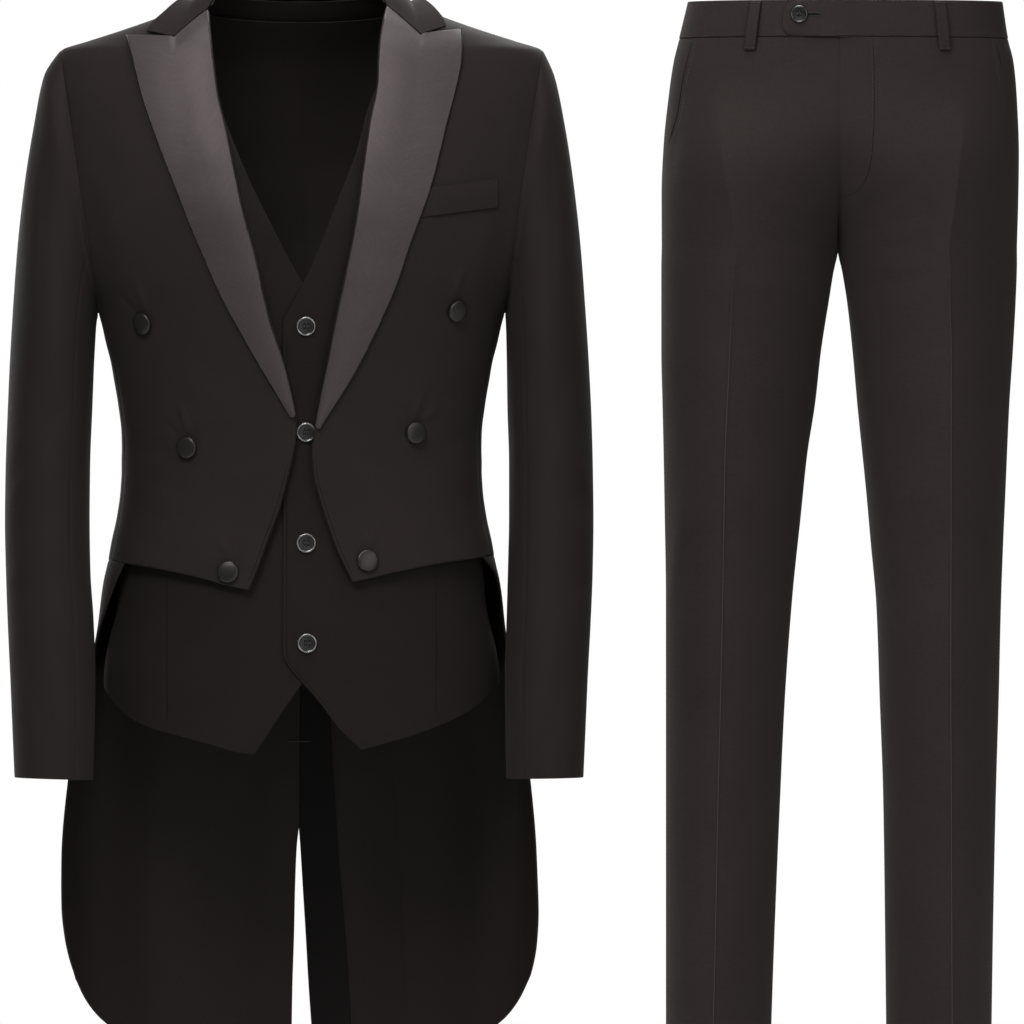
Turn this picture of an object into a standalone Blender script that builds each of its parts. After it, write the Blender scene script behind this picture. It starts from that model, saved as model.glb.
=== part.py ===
# A man's evening suit, filled out as it is worn: a tailcoat over its waistcoat, and the trousers beside them.
# Sizes and places are in millimetres, and MM turns them into metres. The wearer's left is +X, the front is -Y.
# The origin is the middle of the neck's base, where the coat sits on the wearer's shoulders.

import bpy
import bmesh
import numpy as np
from mathutils import Vector
from mathutils.bvhtree import BVHTree

MM = 0.001
SEAM = 0.3            # gap between two pieces that are sewn edge to edge
COAT_WALL = 2.0       # cloth and interlining of the coat
LAPEL_WALL = 2.2
VEST_WALL = 1.6
TROUSER_WALL = 1.6
STEP = 0.05           # small step, in degrees or millimetres, that a surface's slope is measured over

for old in list(bpy.data.objects):
    bpy.data.objects.remove(old)


def table(columns, *rows):
    """A short table as named columns, each one an array."""
    return dict(zip(columns.split(), np.array(rows, float).T))


def smooth(at, knots, values):
    """Monotone cubic through (knots, values), read at the given places and level past both ends."""
    order = np.argsort(knots)
    x = np.asarray(knots, float)[order]
    y = np.asarray(values, float)[order]
    run = np.diff(x)
    slope = np.diff(y) / run
    lean = np.zeros_like(y)
    lean[0] = slope[0]
    lean[-1] = slope[-1]
    agree = slope[:-1] * slope[1:] > 0
    near = 2 * run[1:] + run[:-1]
    far = run[1:] + 2 * run[:-1]
    before = np.where(agree, slope[:-1], 1.0)
    after = np.where(agree, slope[1:], 1.0)
    lean[1:-1] = np.where(agree, (near + far) / (near / before + far / after), 0.0)
    at = np.clip(at, x[0], x[-1])
    k = np.clip(np.searchsorted(x, at, "right") - 1, 0, len(run) - 1)
    t = (at - x[k]) / run[k]
    rise = y[k] * (1 + 2 * t) * (1 - t) ** 2 + y[k + 1] * t * t * (3 - 2 * t)
    return rise + run[k] * (lean[k] * t * (1 - t) ** 2 - lean[k + 1] * t * t * (1 - t))


def ease(share):
    """0 to 1 with level ends."""
    share = np.clip(share, 0, 1)
    return share * share * (3 - 2 * share)


def along(points, share):
    """Smooth curve through points, read at shares of its length."""
    points = np.array(points, float)
    walked = np.concatenate(([0.0], np.cumsum(np.linalg.norm(np.diff(points, axis=0), axis=1))))
    return np.stack([smooth(share * walked[-1], walked, values) for values in points.T], axis=-1)


def shares(count):
    """Even shares from 0 to 1 for a number of cells."""
    return np.linspace(0, 1, count + 1)


def coons(left, right, top, bottom):
    """Grid that fills four edges: rows run from top to bottom and columns from left to right."""
    v = shares(len(left) - 1)[:, None, None]
    u = shares(len(top) - 1)[None, :, None]
    across = (1 - u) * left[:, None] + u * right[:, None]
    down = (1 - v) * top[None] + v * bottom[None]
    upper = (1 - u) * left[0] + u * right[0]
    lower = (1 - u) * left[-1] + u * right[-1]
    return across + down - (1 - v) * upper - v * lower


# Materials

FINISHES = {
    "coat_wool": ((0.010, 0.009, 0.0095), 0.85, 0.0),
    "lapel_satin": ((0.016, 0.014, 0.015), 0.38, 0.0),
    "waistcoat_wool": ((0.013, 0.012, 0.011), 0.82, 0.0),
    "trouser_wool": ((0.028, 0.025, 0.024), 0.85, 0.0),
    "covered_button": ((0.011, 0.010, 0.011), 0.60, 0.0),
    "horn_button": ((0.006, 0.006, 0.006), 0.22, 0.0),
}


def finish(name):
    """The material of that name, made the first time that it is asked for."""
    if name in bpy.data.materials:
        return bpy.data.materials[name]
    colour, roughness, metallic = FINISHES[name]
    material = bpy.data.materials.new(name)
    material.use_nodes = True
    shader = material.node_tree.nodes["Principled BSDF"]
    shader.inputs["Base Color"].default_value = (*colour, 1.0)
    shader.inputs["Roughness"].default_value = roughness
    shader.inputs["Metallic"].default_value = metallic
    return material


# Making solids

def solid(name, points, faces, finish_name):
    """One closed body with its faces turned outwards."""
    mesh = bpy.data.meshes.new(name)
    mesh.from_pydata((np.asarray(points) * MM).tolist(), [], faces)
    body = bmesh.new()
    body.from_mesh(mesh)
    bmesh.ops.recalc_face_normals(body, faces=body.faces)
    body.to_mesh(mesh)
    body.free()
    mesh.materials.append(finish(finish_name))
    mesh.shade_smooth()
    mesh.set_sharp_from_angle(angle=np.radians(40))
    thing = bpy.data.objects.new(name, mesh)
    bpy.context.scene.collection.objects.link(thing)
    return thing


def wall(name, outer, inner, finish_name):
    """A sheet with thickness, between two grids of points of the same size. Both sides share their diagonals."""
    rows, columns = outer.shape[:2]
    count = rows * columns
    at = np.arange(count).reshape(rows, columns)
    a, b, c, d = at[:-1, :-1], at[:-1, 1:], at[1:, 1:], at[1:, :-1]
    falling = np.linalg.norm(outer[1:, 1:] - outer[:-1, :-1], axis=-1)
    rising = np.linalg.norm(outer[:-1, 1:] - outer[1:, :-1], axis=-1)
    by_falling = np.stack([a, b, c, a, c, d], axis=-1)
    by_rising = np.stack([a, b, d, b, c, d], axis=-1)
    cells = np.where((falling <= rising)[..., None], by_falling, by_rising).reshape(-1, 3)
    rim = np.concatenate([at[0, :-1], at[:-1, -1], at[-1, :0:-1], at[:0:-1, 0]])
    after = np.roll(rim, -1)
    edge = np.stack([after, rim, rim + count, after, rim + count, after + count], axis=-1).reshape(-1, 3)
    faces = np.concatenate([cells, cells[:, ::-1] + count, edge])
    points = np.concatenate([outer.reshape(-1, 3), inner.reshape(-1, 3)])
    return solid(name, points, faces.tolist(), finish_name)


def turned(name, profile, centre, axis, sides, finish_name):
    """A round solid: a profile of (radius, height) pairs spun about an axis, with a point at both ends."""
    axis = np.asarray(axis, float) / np.linalg.norm(axis)
    across = np.cross(axis, (0.0, 0.0, 1.0))
    across /= np.linalg.norm(across)
    upward = np.cross(across, axis)
    turn = np.linspace(0, 2 * np.pi, sides, endpoint=False)
    spoke = np.cos(turn)[:, None] * across + np.sin(turn)[:, None] * upward
    rings = [centre + radius * spoke + height * axis for radius, height in profile[1:-1]]
    points = [*np.concatenate(rings), centre + profile[0][1] * axis, centre + profile[-1][1] * axis]
    faces = []
    for k in range(len(rings) - 1):
        for i in range(sides):
            j = (i + 1) % sides
            faces.append((k * sides + i, k * sides + j, (k + 1) * sides + j, (k + 1) * sides + i))
    low = len(points) - 2
    last = (len(rings) - 1) * sides
    for i in range(sides):
        j = (i + 1) % sides
        faces.append((low, j, i))
        faces.append((low + 1, last + i, last + j))
    return solid(name, points, faces, finish_name)


def clearance(points, normal, panel):
    """Smallest height of some points above a panel's faces, measured along the normal."""
    mesh = panel.data
    corners = [vertex.co for vertex in mesh.vertices]
    tree = BVHTree.FromPolygons(corners, [list(face.vertices) for face in mesh.polygons])
    lift = 20.0
    heights = []
    for point in np.asarray(points).reshape(-1, 3):
        start = Vector((point + lift * normal) * MM)
        hit = tree.ray_cast(start, Vector(-normal), 2 * lift * MM)
        if hit[0] is not None:
            heights.append(hit[3] / MM - lift)
    return min(heights)


# The body that the coat and the waistcoat are cut for: half width, front depth and back depth at each height

COAT_BODY = table(
    "z half_width front back",
    (8, 80, 48, 60),
    (0, 96, 53, 66),
    (-12, 122, 60, 74),
    (-25, 158, 68, 84),
    (-35, 189, 74, 91),
    (-43.5, 214, 79, 96),
    (-60, 225, 86, 102),
    (-100, 233, 101, 110),
    (-150, 235, 114, 114),
    (-200, 225, 120, 113),
    (-240, 205, 120, 109),
    (-278, 180, 117, 104),
    (-302, 174, 114, 101),
    (-329, 168, 110, 98),
    (-360, 162.6, 106, 96),
    (-383, 160, 104, 94),
    (-407, 159.5, 103, 93),
    (-432, 160.7, 103, 94),
    (-457, 164, 104, 97),
    (-480, 169, 106, 101),
    (-497, 172, 108, 105),
    (-515, 176, 109, 108),
    (-560, 182, 112, 114),
    (-620, 195, 114, 119),
    (-690, 210, 116, 122),
    (-760, 217, 117, 124),
    (-850, 219, 118, 126),
    (-955, 219, 118, 127),
)

VEST_BODY = table(
    "z half_width front back",
    (8, 80, 48, 60),
    (0, 96, 53, 66),
    (-12, 122, 60, 74),
    (-25, 158, 68, 84),
    (-35, 189, 74, 91),
    (-43.5, 214, 79, 96),
    (-60, 225, 86, 102),
    (-100, 233, 101, 110),
    (-150, 235, 114, 114),
    (-200, 225, 120, 113),
    (-240, 205, 120, 109),
    (-278, 180, 117, 104),
    (-302, 174, 114, 101),
    (-329, 168, 110, 98),
    (-360, 162.6, 106, 96),
    (-383, 160, 104, 94),
    (-407, 159.5, 103, 93),
    (-432, 160.7, 103, 94),
    (-457, 164, 104, 97),
    (-480, 167, 106, 100),
    (-541, 173, 111, 104),
    (-568, 177, 113, 105),
    (-602, 181, 113, 106),
    (-670, 181, 112, 106),
)


def girth(z, body):
    """Half width, front depth and back depth of a body at a height."""
    return [smooth(z, body["z"], body[column]) for column in ("half_width", "front", "back")]


def on_body(side, angle, z, out, body):
    """Point on a body, moved out along its normal. The angle is 0 at the front, 90 at the side and 180 at the back."""
    def bare(angle, z):
        half, front, back = girth(z, body)
        turn = np.radians(angle)
        depth = np.where(np.cos(turn) > 0, front, back)
        return np.stack([half * np.sin(turn), -depth * np.cos(turn), z], axis=-1)

    angle, z = np.broadcast_arrays(np.asarray(angle, float), np.asarray(z, float))
    normal = np.cross(bare(angle + STEP, z) - bare(angle - STEP, z), bare(angle, z + STEP) - bare(angle, z - STEP))
    normal /= np.linalg.norm(normal, axis=-1, keepdims=True)
    point = bare(angle, z) + np.asarray(out, float)[..., None] * normal
    return point * (side, 1, 1)


def normal_at(side, angle, z, body):
    """Unit normal of a body at one point."""
    return on_body(side, angle, z, 1.0, body) - on_body(side, angle, z, 0.0, body)


def angle_of(x, z, body):
    """Angle at which the front of a body reaches a distance from the middle."""
    return np.degrees(np.arcsin(np.clip(x / girth(z, body)[0], -1, 1)))


def moved_round(angle, z, distance, body):
    """An angle moved a short distance round a body."""
    half, front, back = girth(z, body)
    turn = np.radians(angle)
    depth = np.where(np.cos(turn) > 0, front, back)
    return angle + np.degrees(distance / np.hypot(half * np.cos(turn), depth * np.sin(turn)))


def pair(angle, z):
    """Points of a body's surface as (angle, height)."""
    angle, z = np.broadcast_arrays(angle, z)
    return np.stack([angle, z], axis=-1).astype(float)


def beside(edge, distance, body):
    """An edge moved a short distance round a body."""
    return pair(moved_round(edge[..., 0], edge[..., 1], distance, body), edge[..., 1])


def panel(name, side, grid, out, thickness, body, finish_name):
    """A cloth wall over a grid of (angle, height) points, as thick as told and inwards from its outer face."""
    outer = on_body(side, grid[..., 0], grid[..., 1], out, body)
    inner = on_body(side, grid[..., 0], grid[..., 1], np.asarray(out) - thickness, body)
    return wall(name, outer, inner, finish_name)


# The armhole is a flat cut through the shoulder.

COAT_ARMHOLE = {"top_x": 214.0, "top_z": -43.5, "low_x": 180.5, "low_z": -277.0}
VEST_ARMHOLE = {"top_x": 160.0, "top_z": -25.6, "low_x": 174.0, "low_z": -302.0}


def armhole(turn, hole, body):
    """Armhole's edge as (angle, height). Turn runs down the front to 180 and up the back to 360."""
    turn = np.asarray(turn, float)
    share = (1 - np.cos(np.radians(turn))) / 2
    z = hole["top_z"] + share * (hole["low_z"] - hole["top_z"])
    x = hole["top_x"] + share * (hole["low_x"] - hole["top_x"])
    angle = angle_of(x, z, body)
    return pair(np.where(turn > 180, 180 - angle, angle), z)


# Edges of the coat, as the distance from the middle at each height. The two sides differ a little.

COAT_EDGE = {
    1: table(
        "z x", (-6, 75), (-30, 70), (-54, 68), (-73, 68), (-101, 62), (-135, 57), (-188, 50), (-217, 45), (-250, 38),
        (-288, 30), (-320, 24), (-349, 18), (-383, 12), (-401, 10), (-419, 11), (-439, 16), (-461, 23), (-491, 34),
        (-515, 46)),
    -1: table(
        "z x", (-9, 82), (-29, 80), (-54, 77), (-90, 72), (-108, 67), (-137, 61), (-166, 55), (-191, 50), (-217, 42),
        (-253, 34), (-283, 27), (-320, 15), (-349, 8), (-378, 3), (-401, 6), (-425, 12), (-452, 19), (-475, 28),
        (-501, 37), (-522, 46)),
}
COAT_HEM = {
    1: table("x z", (46, -515), (59, -512), (89, -505), (126, -498), (159, -493), (170, -490)),
    -1: table("x z", (46, -522), (68, -517), (86, -512), (122, -504), (158, -498), (171, -495)),
}
NECK_POINT = {"angle": 90.0, "z": 8.0}
NECKLINE_CURVE = {"angle": -4.0, "z": 2.0}    # how far the front neckline's middle lies off a straight line
BACK_NECK = {"angle": 180.0, "z": 2.0}
CENTRE_BACK = table("z x", (2, 0), (-300, 0), (-735, -3.5), (-955, -1.0))
VENT = table(
    "z left right", (2, 0.15, 0.15), (-734, 0.15, 0.15), (-753, 1.4, 2.4), (-786, 3.2, 4.0), (-831, 5.5, 5.5),
    (-876, 7.4, 7.6), (-955, 12, 10))
SIDE_SEAM = {"turn": 150.0, "angle": 80.0, "settles": -380.0}
BACK_SEAM = {"turn": 240.0, "waist_angle": 160.0, "hem_angle": 154.0}
WAIST_Z = {1: -493.0, -1: -496.5}
WAIST_GAP = 0.9       # the skirt's top edge starts this far below the waist
TAIL_EDGE = {
    1: table(
        "z angle", (-494, 70), (-504, 80), (-523, 88), (-540, 92), (-600, 97), (-650, 101), (-690, 104.5),
        (-758, 105.5), (-804, 105.2), (-836, 107), (-854, 109.5), (-871, 113)),
    -1: table(
        "z angle", (-498, 66), (-519, 71), (-537, 76), (-559, 84), (-600, 94), (-650, 96), (-690, 98), (-758, 99.5),
        (-804, 101.5), (-831, 105), (-849, 108.5), (-868, 113)),
}
TAIL_HEM = table("angle z", (113, -869), (118, -887), (125, -905), (137, -925), (150, -939), (167, -948), (180, -951))
ROWS = {"armhole": 8, "body": 7, "tail": 10}
FRONT_ROWS_FINER = 1.35    # how much closer the rows of a front lie at its top
VENT_FACING = {
    "fold": table("z x", (-627, 24), (-667, 26), (-712, 29), (-758, 32), (-795, 35), (-831, 38), (-876, 41), (-948, 46)),
    "behind_edge": 1.0, "gap": 0.6, "wall": 1.2}
COLUMNS = {"front": 9, "side": 4, "back": 6, "skirt": 6}


def side_front_seam(side):
    """Seam from the armhole to the waist, in front of the side body."""
    start = armhole(SIDE_SEAM["turn"], COAT_ARMHOLE, COAT_BODY)
    z = start[1] + shares(ROWS["body"]) * (WAIST_Z[side] - start[1])
    share = ease((start[1] - z) / (start[1] - SIDE_SEAM["settles"]))
    return pair(start[0] + share * (SIDE_SEAM["angle"] - start[0]), z)


def side_back_seam(side):
    """Curved seam from the back of the armhole to the waist."""
    start = armhole(BACK_SEAM["turn"], COAT_ARMHOLE, COAT_BODY)
    share = shares(ROWS["body"])
    z = start[1] + share * (WAIST_Z[side] - start[1])
    return pair(start[0] + np.sin(share * np.pi / 2) ** 0.9 * (BACK_SEAM["waist_angle"] - start[0]), z)


def tail_seam(side):
    """Seam between a back and its skirt, from the waist to the hem."""
    share = shares(ROWS["tail"])
    end_z = smooth(BACK_SEAM["hem_angle"], TAIL_HEM["angle"], TAIL_HEM["z"])
    z = WAIST_Z[side] + share * (end_z - WAIST_Z[side])
    return pair(BACK_SEAM["waist_angle"] + share * (BACK_SEAM["hem_angle"] - BACK_SEAM["waist_angle"]), z)


def front_neckline(side):
    """Where the front's edge starts at the shoulder and reaches the top of the lapel, as (angle, height)."""
    edge = COAT_EDGE[side]
    gorge = pair(angle_of(edge["x"][0], edge["z"][0], COAT_BODY), edge["z"][0])
    middle_angle = (NECK_POINT["angle"] + gorge[0]) / 2 + NECKLINE_CURVE["angle"]
    middle = pair(middle_angle, (NECK_POINT["z"] + gorge[1]) / 2 + NECKLINE_CURVE["z"])
    return np.stack([pair(NECK_POINT["angle"], NECK_POINT["z"]), middle, gorge])


def coat_front(side, name):
    """Front of the coat, from the lapel's roll line and the front edge to the armhole and the side seam."""
    upper = armhole(np.linspace(0, SIDE_SEAM["turn"], ROWS["armhole"] + 1), COAT_ARMHOLE, COAT_BODY)
    right = np.concatenate([upper, side_front_seam(side)[1:]])
    edge = COAT_EDGE[side]
    share = shares(len(right) - 1) ** FRONT_ROWS_FINER
    z = NECK_POINT["z"] + share * (edge["z"][-1] - NECK_POINT["z"])
    neck = front_neckline(side)
    by_neck = smooth(z, neck[:, 1], neck[:, 0])
    by_edge = angle_of(smooth(z, edge["z"], edge["x"]), z, COAT_BODY)
    left = pair(np.where(z > edge["z"][0], by_neck, by_edge), z)
    across = shares(COLUMNS["front"])
    top = pair(NECK_POINT["angle"], left[0, 1] + across * (right[0, 1] - left[0, 1]))
    hem = COAT_HEM[side]
    side_x = girth(right[-1, 1], COAT_BODY)[0] * np.sin(np.radians(right[-1, 0]))
    hem_x = hem["x"][0] + across * (side_x - hem["x"][0])
    hem_z = smooth(hem_x, hem["x"], hem["z"])
    bottom = pair(angle_of(hem_x, hem_z, COAT_BODY), hem_z)
    right[-1, 1] = hem_z[-1]
    left[-1, 1] = hem_z[0]
    right[:, 0] = moved_round(right[:, 0], right[:, 1], -SEAM / 2 * (right[:, 0] > 0), COAT_BODY)
    top[:, 0] -= SEAM / 3
    left[0] = top[0]
    right[0] = top[-1]
    bottom[-1] = right[-1]
    grid = coons(left, right, top, bottom)
    return panel(name, side, grid, 0.0, COAT_WALL, COAT_BODY, "coat_wool")


def coat_side(side, name):
    """Side body under the arm, from the front seam to the back seam."""
    left = beside(side_front_seam(side), SEAM / 2, COAT_BODY)
    right = beside(side_back_seam(side), -SEAM / 2, COAT_BODY)
    columns = COLUMNS["side"]
    top = armhole(np.linspace(SIDE_SEAM["turn"], BACK_SEAM["turn"], columns + 1), COAT_ARMHOLE, COAT_BODY)
    top[0] = left[0]
    top[-1] = right[0]
    bottom = pair(left[-1, 0] + shares(columns) * (right[-1, 0] - left[-1, 0]), WAIST_Z[side])
    grid = coons(left, right, top, bottom)
    return panel(name, side, grid, 0.0, COAT_WALL, COAT_BODY, "coat_wool")


def centre_back(side, z):
    """Angle of the centre back edge, which opens into the vent."""
    opening = smooth(z, VENT["z"], VENT["left" if side > 0 else "right"])
    x = side * smooth(z, CENTRE_BACK["z"], CENTRE_BACK["x"]) + opening
    return 180 - np.degrees(np.arcsin(x / girth(z, COAT_BODY)[0]))


def coat_back(side, name):
    """Back of the coat, whole from the shoulder to the hem of the tail."""
    upper = armhole(np.linspace(360, BACK_SEAM["turn"], ROWS["armhole"] + 1), COAT_ARMHOLE, COAT_BODY)
    right = np.concatenate([upper, side_back_seam(side)[1:], tail_seam(side)[1:]])
    neck_rows = 3
    neck_share = shares(neck_rows)
    neck = pair(
        NECK_POINT["angle"] + neck_share * (BACK_NECK["angle"] - NECK_POINT["angle"]),
        NECK_POINT["z"] + ease(neck_share) * (BACK_NECK["z"] - NECK_POINT["z"]))
    share = shares(len(right) - 1 - neck_rows)
    z = BACK_NECK["z"] + share * (TAIL_HEM["z"][-1] - BACK_NECK["z"])
    left = np.concatenate([neck[:-1], pair(centre_back(side, z), z)])
    across = shares(COLUMNS["back"])
    top = pair(NECK_POINT["angle"], left[0, 1] + across * (right[0, 1] - left[0, 1]))
    bottom_angle = left[-1, 0] + across * (right[-1, 0] - left[-1, 0])
    bottom = pair(bottom_angle, smooth(bottom_angle, TAIL_HEM["angle"], TAIL_HEM["z"]))
    right[:, 0] = moved_round(right[:, 0], right[:, 1], SEAM / 2, COAT_BODY)
    top[:, 0] += SEAM / 3
    left[0] = top[0]
    right[0] = top[-1]
    bottom[-1] = right[-1]
    grid = coons(left, right, top, bottom)
    return panel(name, side, grid, 0.0, COAT_WALL, COAT_BODY, "coat_wool")


def coat_skirt(side, name):
    """Skirt that makes the outer half of a tail, sewn on below the waist seam."""
    edge = TAIL_EDGE[side]
    right = beside(tail_seam(side), -SEAM / 2, COAT_BODY)
    right[0, 1] -= WAIST_GAP
    share = (right[:, 1] - right[0, 1]) / (right[-1, 1] - right[0, 1])
    z = edge["z"][0] - WAIST_GAP + share * (edge["z"][-1] - edge["z"][0])
    left = pair(smooth(z, edge["z"], edge["angle"]), z)
    across = shares(COLUMNS["skirt"])
    top_angle = left[0, 0] + across * (right[0, 0] - left[0, 0])
    hem = COAT_HEM[side]
    under_front = smooth(girth(left[0, 1], COAT_BODY)[0] * np.sin(np.radians(top_angle)), hem["x"], hem["z"])
    level = np.where(top_angle < SIDE_SEAM["angle"], np.minimum(under_front, WAIST_Z[side]), WAIST_Z[side])
    top = pair(top_angle, level - WAIST_GAP)
    left[0] = top[0]
    right[0] = top[-1]
    bottom_angle = left[-1, 0] + across * (right[-1, 0] - left[-1, 0])
    bottom = pair(bottom_angle, smooth(bottom_angle, TAIL_HEM["angle"], TAIL_HEM["z"]))
    left[-1] = bottom[0]
    right[-1] = bottom[-1]
    grid = coons(left, right, top, bottom)
    return panel(name, side, grid, 0.0, COAT_WALL, COAT_BODY, "coat_wool")


def vent_facing(name):
    """Strip turned in along the left tail's vent, on the inside of the back."""
    fold = VENT_FACING["fold"]
    z = np.linspace(fold["z"][0], fold["z"][-1] + 2, ROWS["tail"] + 1)
    edge = beside(pair(centre_back(1, z), z), -VENT_FACING["behind_edge"], COAT_BODY)
    inner = pair(180 - angle_of(smooth(z, fold["z"], fold["x"]), z, COAT_BODY), z)
    across = shares(2)
    top = pair(edge[0, 0] + across * (inner[0, 0] - edge[0, 0]), z[0])
    bottom = pair(edge[-1, 0] + across * (inner[-1, 0] - edge[-1, 0]), z[-1])
    grid = coons(edge, inner, top, bottom)
    out = -COAT_WALL - VENT_FACING["gap"]
    return panel(name, 1, grid, out, VENT_FACING["wall"], COAT_BODY, "coat_wool")


# Lapels and collar

LAPEL_EDGE = {
    1: table(
        "z x", (-29, 141), (-38, 143), (-69, 139), (-101, 131), (-130, 124), (-163, 116), (-191, 106), (-220, 95),
        (-248, 86), (-289, 68), (-326, 50), (-352, 34), (-374, 20), (-380, 16.5)),
    -1: table(
        "z x", (-34, 154), (-49, 149), (-80, 142), (-110, 132), (-137, 122), (-170, 109), (-203, 96), (-235, 82),
        (-271, 66), (-281, 60), (-319, 39), (-352, 19), (-370, 8.5)),
}
NOTCH = {1: (105, -33), -1: (112, -35)}
COLLAR_TIP = {1: (127, -26), -1: (136, -30)}
LAPEL_PUFF = {"edge": 1.3, "crown": 4.2, "at_gorge": 0.3, "at_peak": 2.0}
LAPEL_ROWS = 13
LAPEL_ROWS_FINER = 1.25    # how much closer the rows of a lapel lie at its top
LAPEL_END = 2.0       # the roll line ends this far above the lapel's low point
GORGE_OUT = (3.5, 4.8, 4.9)    # outer faces at the gorge seam: at the roll line, half way and at the notch
GORGE_GAP = 0.8


def gorge_points(side, below=0.0):
    """Seam between lapel and collar, from the roll line to the notch, as (x, z), or a line below it."""
    edge = COAT_EDGE[side]
    start = np.array([edge["x"][0], edge["z"][0]])
    notch = np.array(NOTCH[side], float)
    run = (notch - start) / np.linalg.norm(notch - start)
    return np.stack([start, (start + notch) / 2, notch]) + below * np.array([run[1], -run[0]])


def gorge_line(side):
    """The same seam as (angle, height)."""
    points = gorge_points(side)
    return pair(angle_of(points[:, 0], points[:, 1], COAT_BODY), points[:, 1])


def lapel(side, name):
    """Lapel folded back over the front: roll line on one side, peak at the top."""
    roll = COAT_EDGE[side]
    outer = LAPEL_EDGE[side]
    down = shares(LAPEL_ROWS) ** LAPEL_ROWS_FINER
    roll_z = roll["z"][0] + down * (outer["z"][-1] + LAPEL_END - roll["z"][0])
    left = pair(smooth(roll_z, roll["z"], roll["x"]), roll_z)
    outer_z = outer["z"][0] + down * (outer["z"][-1] - outer["z"][0])
    right = pair(smooth(outer_z, outer["z"], outer["x"]), outer_z)
    gorge = gorge_points(side, GORGE_GAP)
    top = np.stack([*gorge, (gorge[-1] + right[0]) / 2, right[0]])
    across = shares(len(top) - 1)
    bottom = left[-1] + across[:, None] * (right[-1] - left[-1])
    left[0] = top[0]
    flat = coons(left, right, top, bottom)
    grid = pair(angle_of(flat[..., 0], flat[..., 1], COAT_BODY), flat[..., 1])
    soft = LAPEL_PUFF["at_gorge"] + (1 - LAPEL_PUFF["at_gorge"]) * ease(down * 4)
    puff = np.sin(np.pi * across ** 0.8)[None, :] * (soft * np.sqrt(1 - 0.7 * down))[:, None]
    peak = LAPEL_PUFF["at_peak"] * (1 - ease(down * 5))[:, None]
    out = LAPEL_PUFF["edge"] + LAPEL_WALL + LAPEL_PUFF["crown"] * puff + peak
    out[0, :3] = GORGE_OUT
    return panel(name, side, grid, out, LAPEL_WALL, COAT_BODY, "lapel_satin")


COLLAR_WALL = 2.0
COLLAR_STEPS = 10      # cells along one half, from the gorge to the centre back
COLLAR_BULGE = 6.0     # how far the fall rounds out between its fold and its edge
FOLD_WIDER = {1: 0.0, -1: 4.0}    # how much further out the fold starts on each side
COLLAR_FOLD = table("x y z", (72, -28, 8), (72, 0, 20), (62, 30, 26), (38, 52, 28), (0, 60, 28.5))
COLLAR_EDGE = table(
    "share angle z out", (0.14, 72, -12, 8.0), (0.3, 92, -2, 10.5), (0.48, 115, -7, 9.0), (0.68, 140, -14, 6.5),
    (0.84, 160, -18, 5.5), (1, 180, -19, 5.5))
COLLAR_TIP_OUT = 4.5
COLLAR_STAND = {
    "starts": 0.16, "inside_fold": 4.4, "below_fold": 2.0, "inside_neck": 0.5, "above_neck": 0.7, "wall": 1.6,
    "back_neck": ((120.0, 6.5), (150.0, 3.5), (180.0, 2.0))}


def fold_line(side, share):
    """Top fold of the collar, from the gorge round to the centre back."""
    gorge = gorge_line(side)[0]
    start = on_body(1, gorge[0], gorge[1], GORGE_OUT[0], COAT_BODY)
    stops = np.stack([COLLAR_FOLD["x"], COLLAR_FOLD["y"], COLLAR_FOLD["z"]], axis=-1)
    stops[:2, 0] += FOLD_WIDER[side]
    return along([start, *stops], share) * (side, 1, 1)


def fall_edge(side, share):
    """Outer edge of the collar, from its tip over the shoulder to the centre back."""
    tip_x, tip_z = COLLAR_TIP[side]
    tip = {"share": 0.0, "angle": angle_of(tip_x, tip_z, COAT_BODY), "z": tip_z, "out": COLLAR_TIP_OUT}
    stops = {column: np.append(tip[column], values) for column, values in COLLAR_EDGE.items()}
    read = {column: smooth(share, stops["share"], stops[column]) for column in ("angle", "z", "out")}
    return on_body(side, read["angle"], read["z"], read["out"], COAT_BODY)


def collar_half(side):
    """Outer face of the fall on one side: rows from the fold to the edge, columns from the front to the back."""
    share = shares(COLLAR_STEPS)
    top = fold_line(side, share)
    bottom = fall_edge(side, share)
    gorge = gorge_line(side)
    front = np.concatenate([on_body(side, gorge[:, 0], gorge[:, 1], np.array(GORGE_OUT), COAT_BODY), bottom[:1]])
    down = shares(len(front) - 1)
    middle = top[-1] + down[:, None] * (bottom[-1] - top[-1])
    grid = coons(front, middle, top, bottom)
    inward = grid * (1, 1, 0)
    bulge = COLLAR_BULGE * np.sin(np.pi * down)[:, None, None] * ease(share * 4)[None, :, None]
    return grid + bulge * inward / np.linalg.norm(inward, axis=-1, keepdims=True)


def grid_normals(grid):
    """Unit normals of a grid of points, from its neighbours."""
    along_rows = np.gradient(grid, axis=0)
    along_columns = np.gradient(grid, axis=1)
    normal = np.cross(along_columns, along_rows)
    return normal / np.linalg.norm(normal, axis=-1, keepdims=True)


def collar_fall(name):
    """Fall of the collar, in one piece round the back of the neck."""
    left = collar_half(1)
    right = collar_half(-1)
    grid = np.concatenate([right, left[:, -2::-1]], axis=1)
    normal = grid_normals(grid)
    normal *= np.sign(np.sum(normal * grid * (1, 1, 0), axis=-1, keepdims=True))
    normal[-1] = normal[-2]
    for side, column in ((-1, 0), (1, -1)):
        gorge = gorge_line(side)
        normal[:3, column] = [normal_at(side, angle, z, COAT_BODY) for angle, z in gorge]
        normal[3, column] = normal[2, column]
    return wall(name, grid, grid - COLLAR_WALL * normal, "coat_wool")


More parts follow.
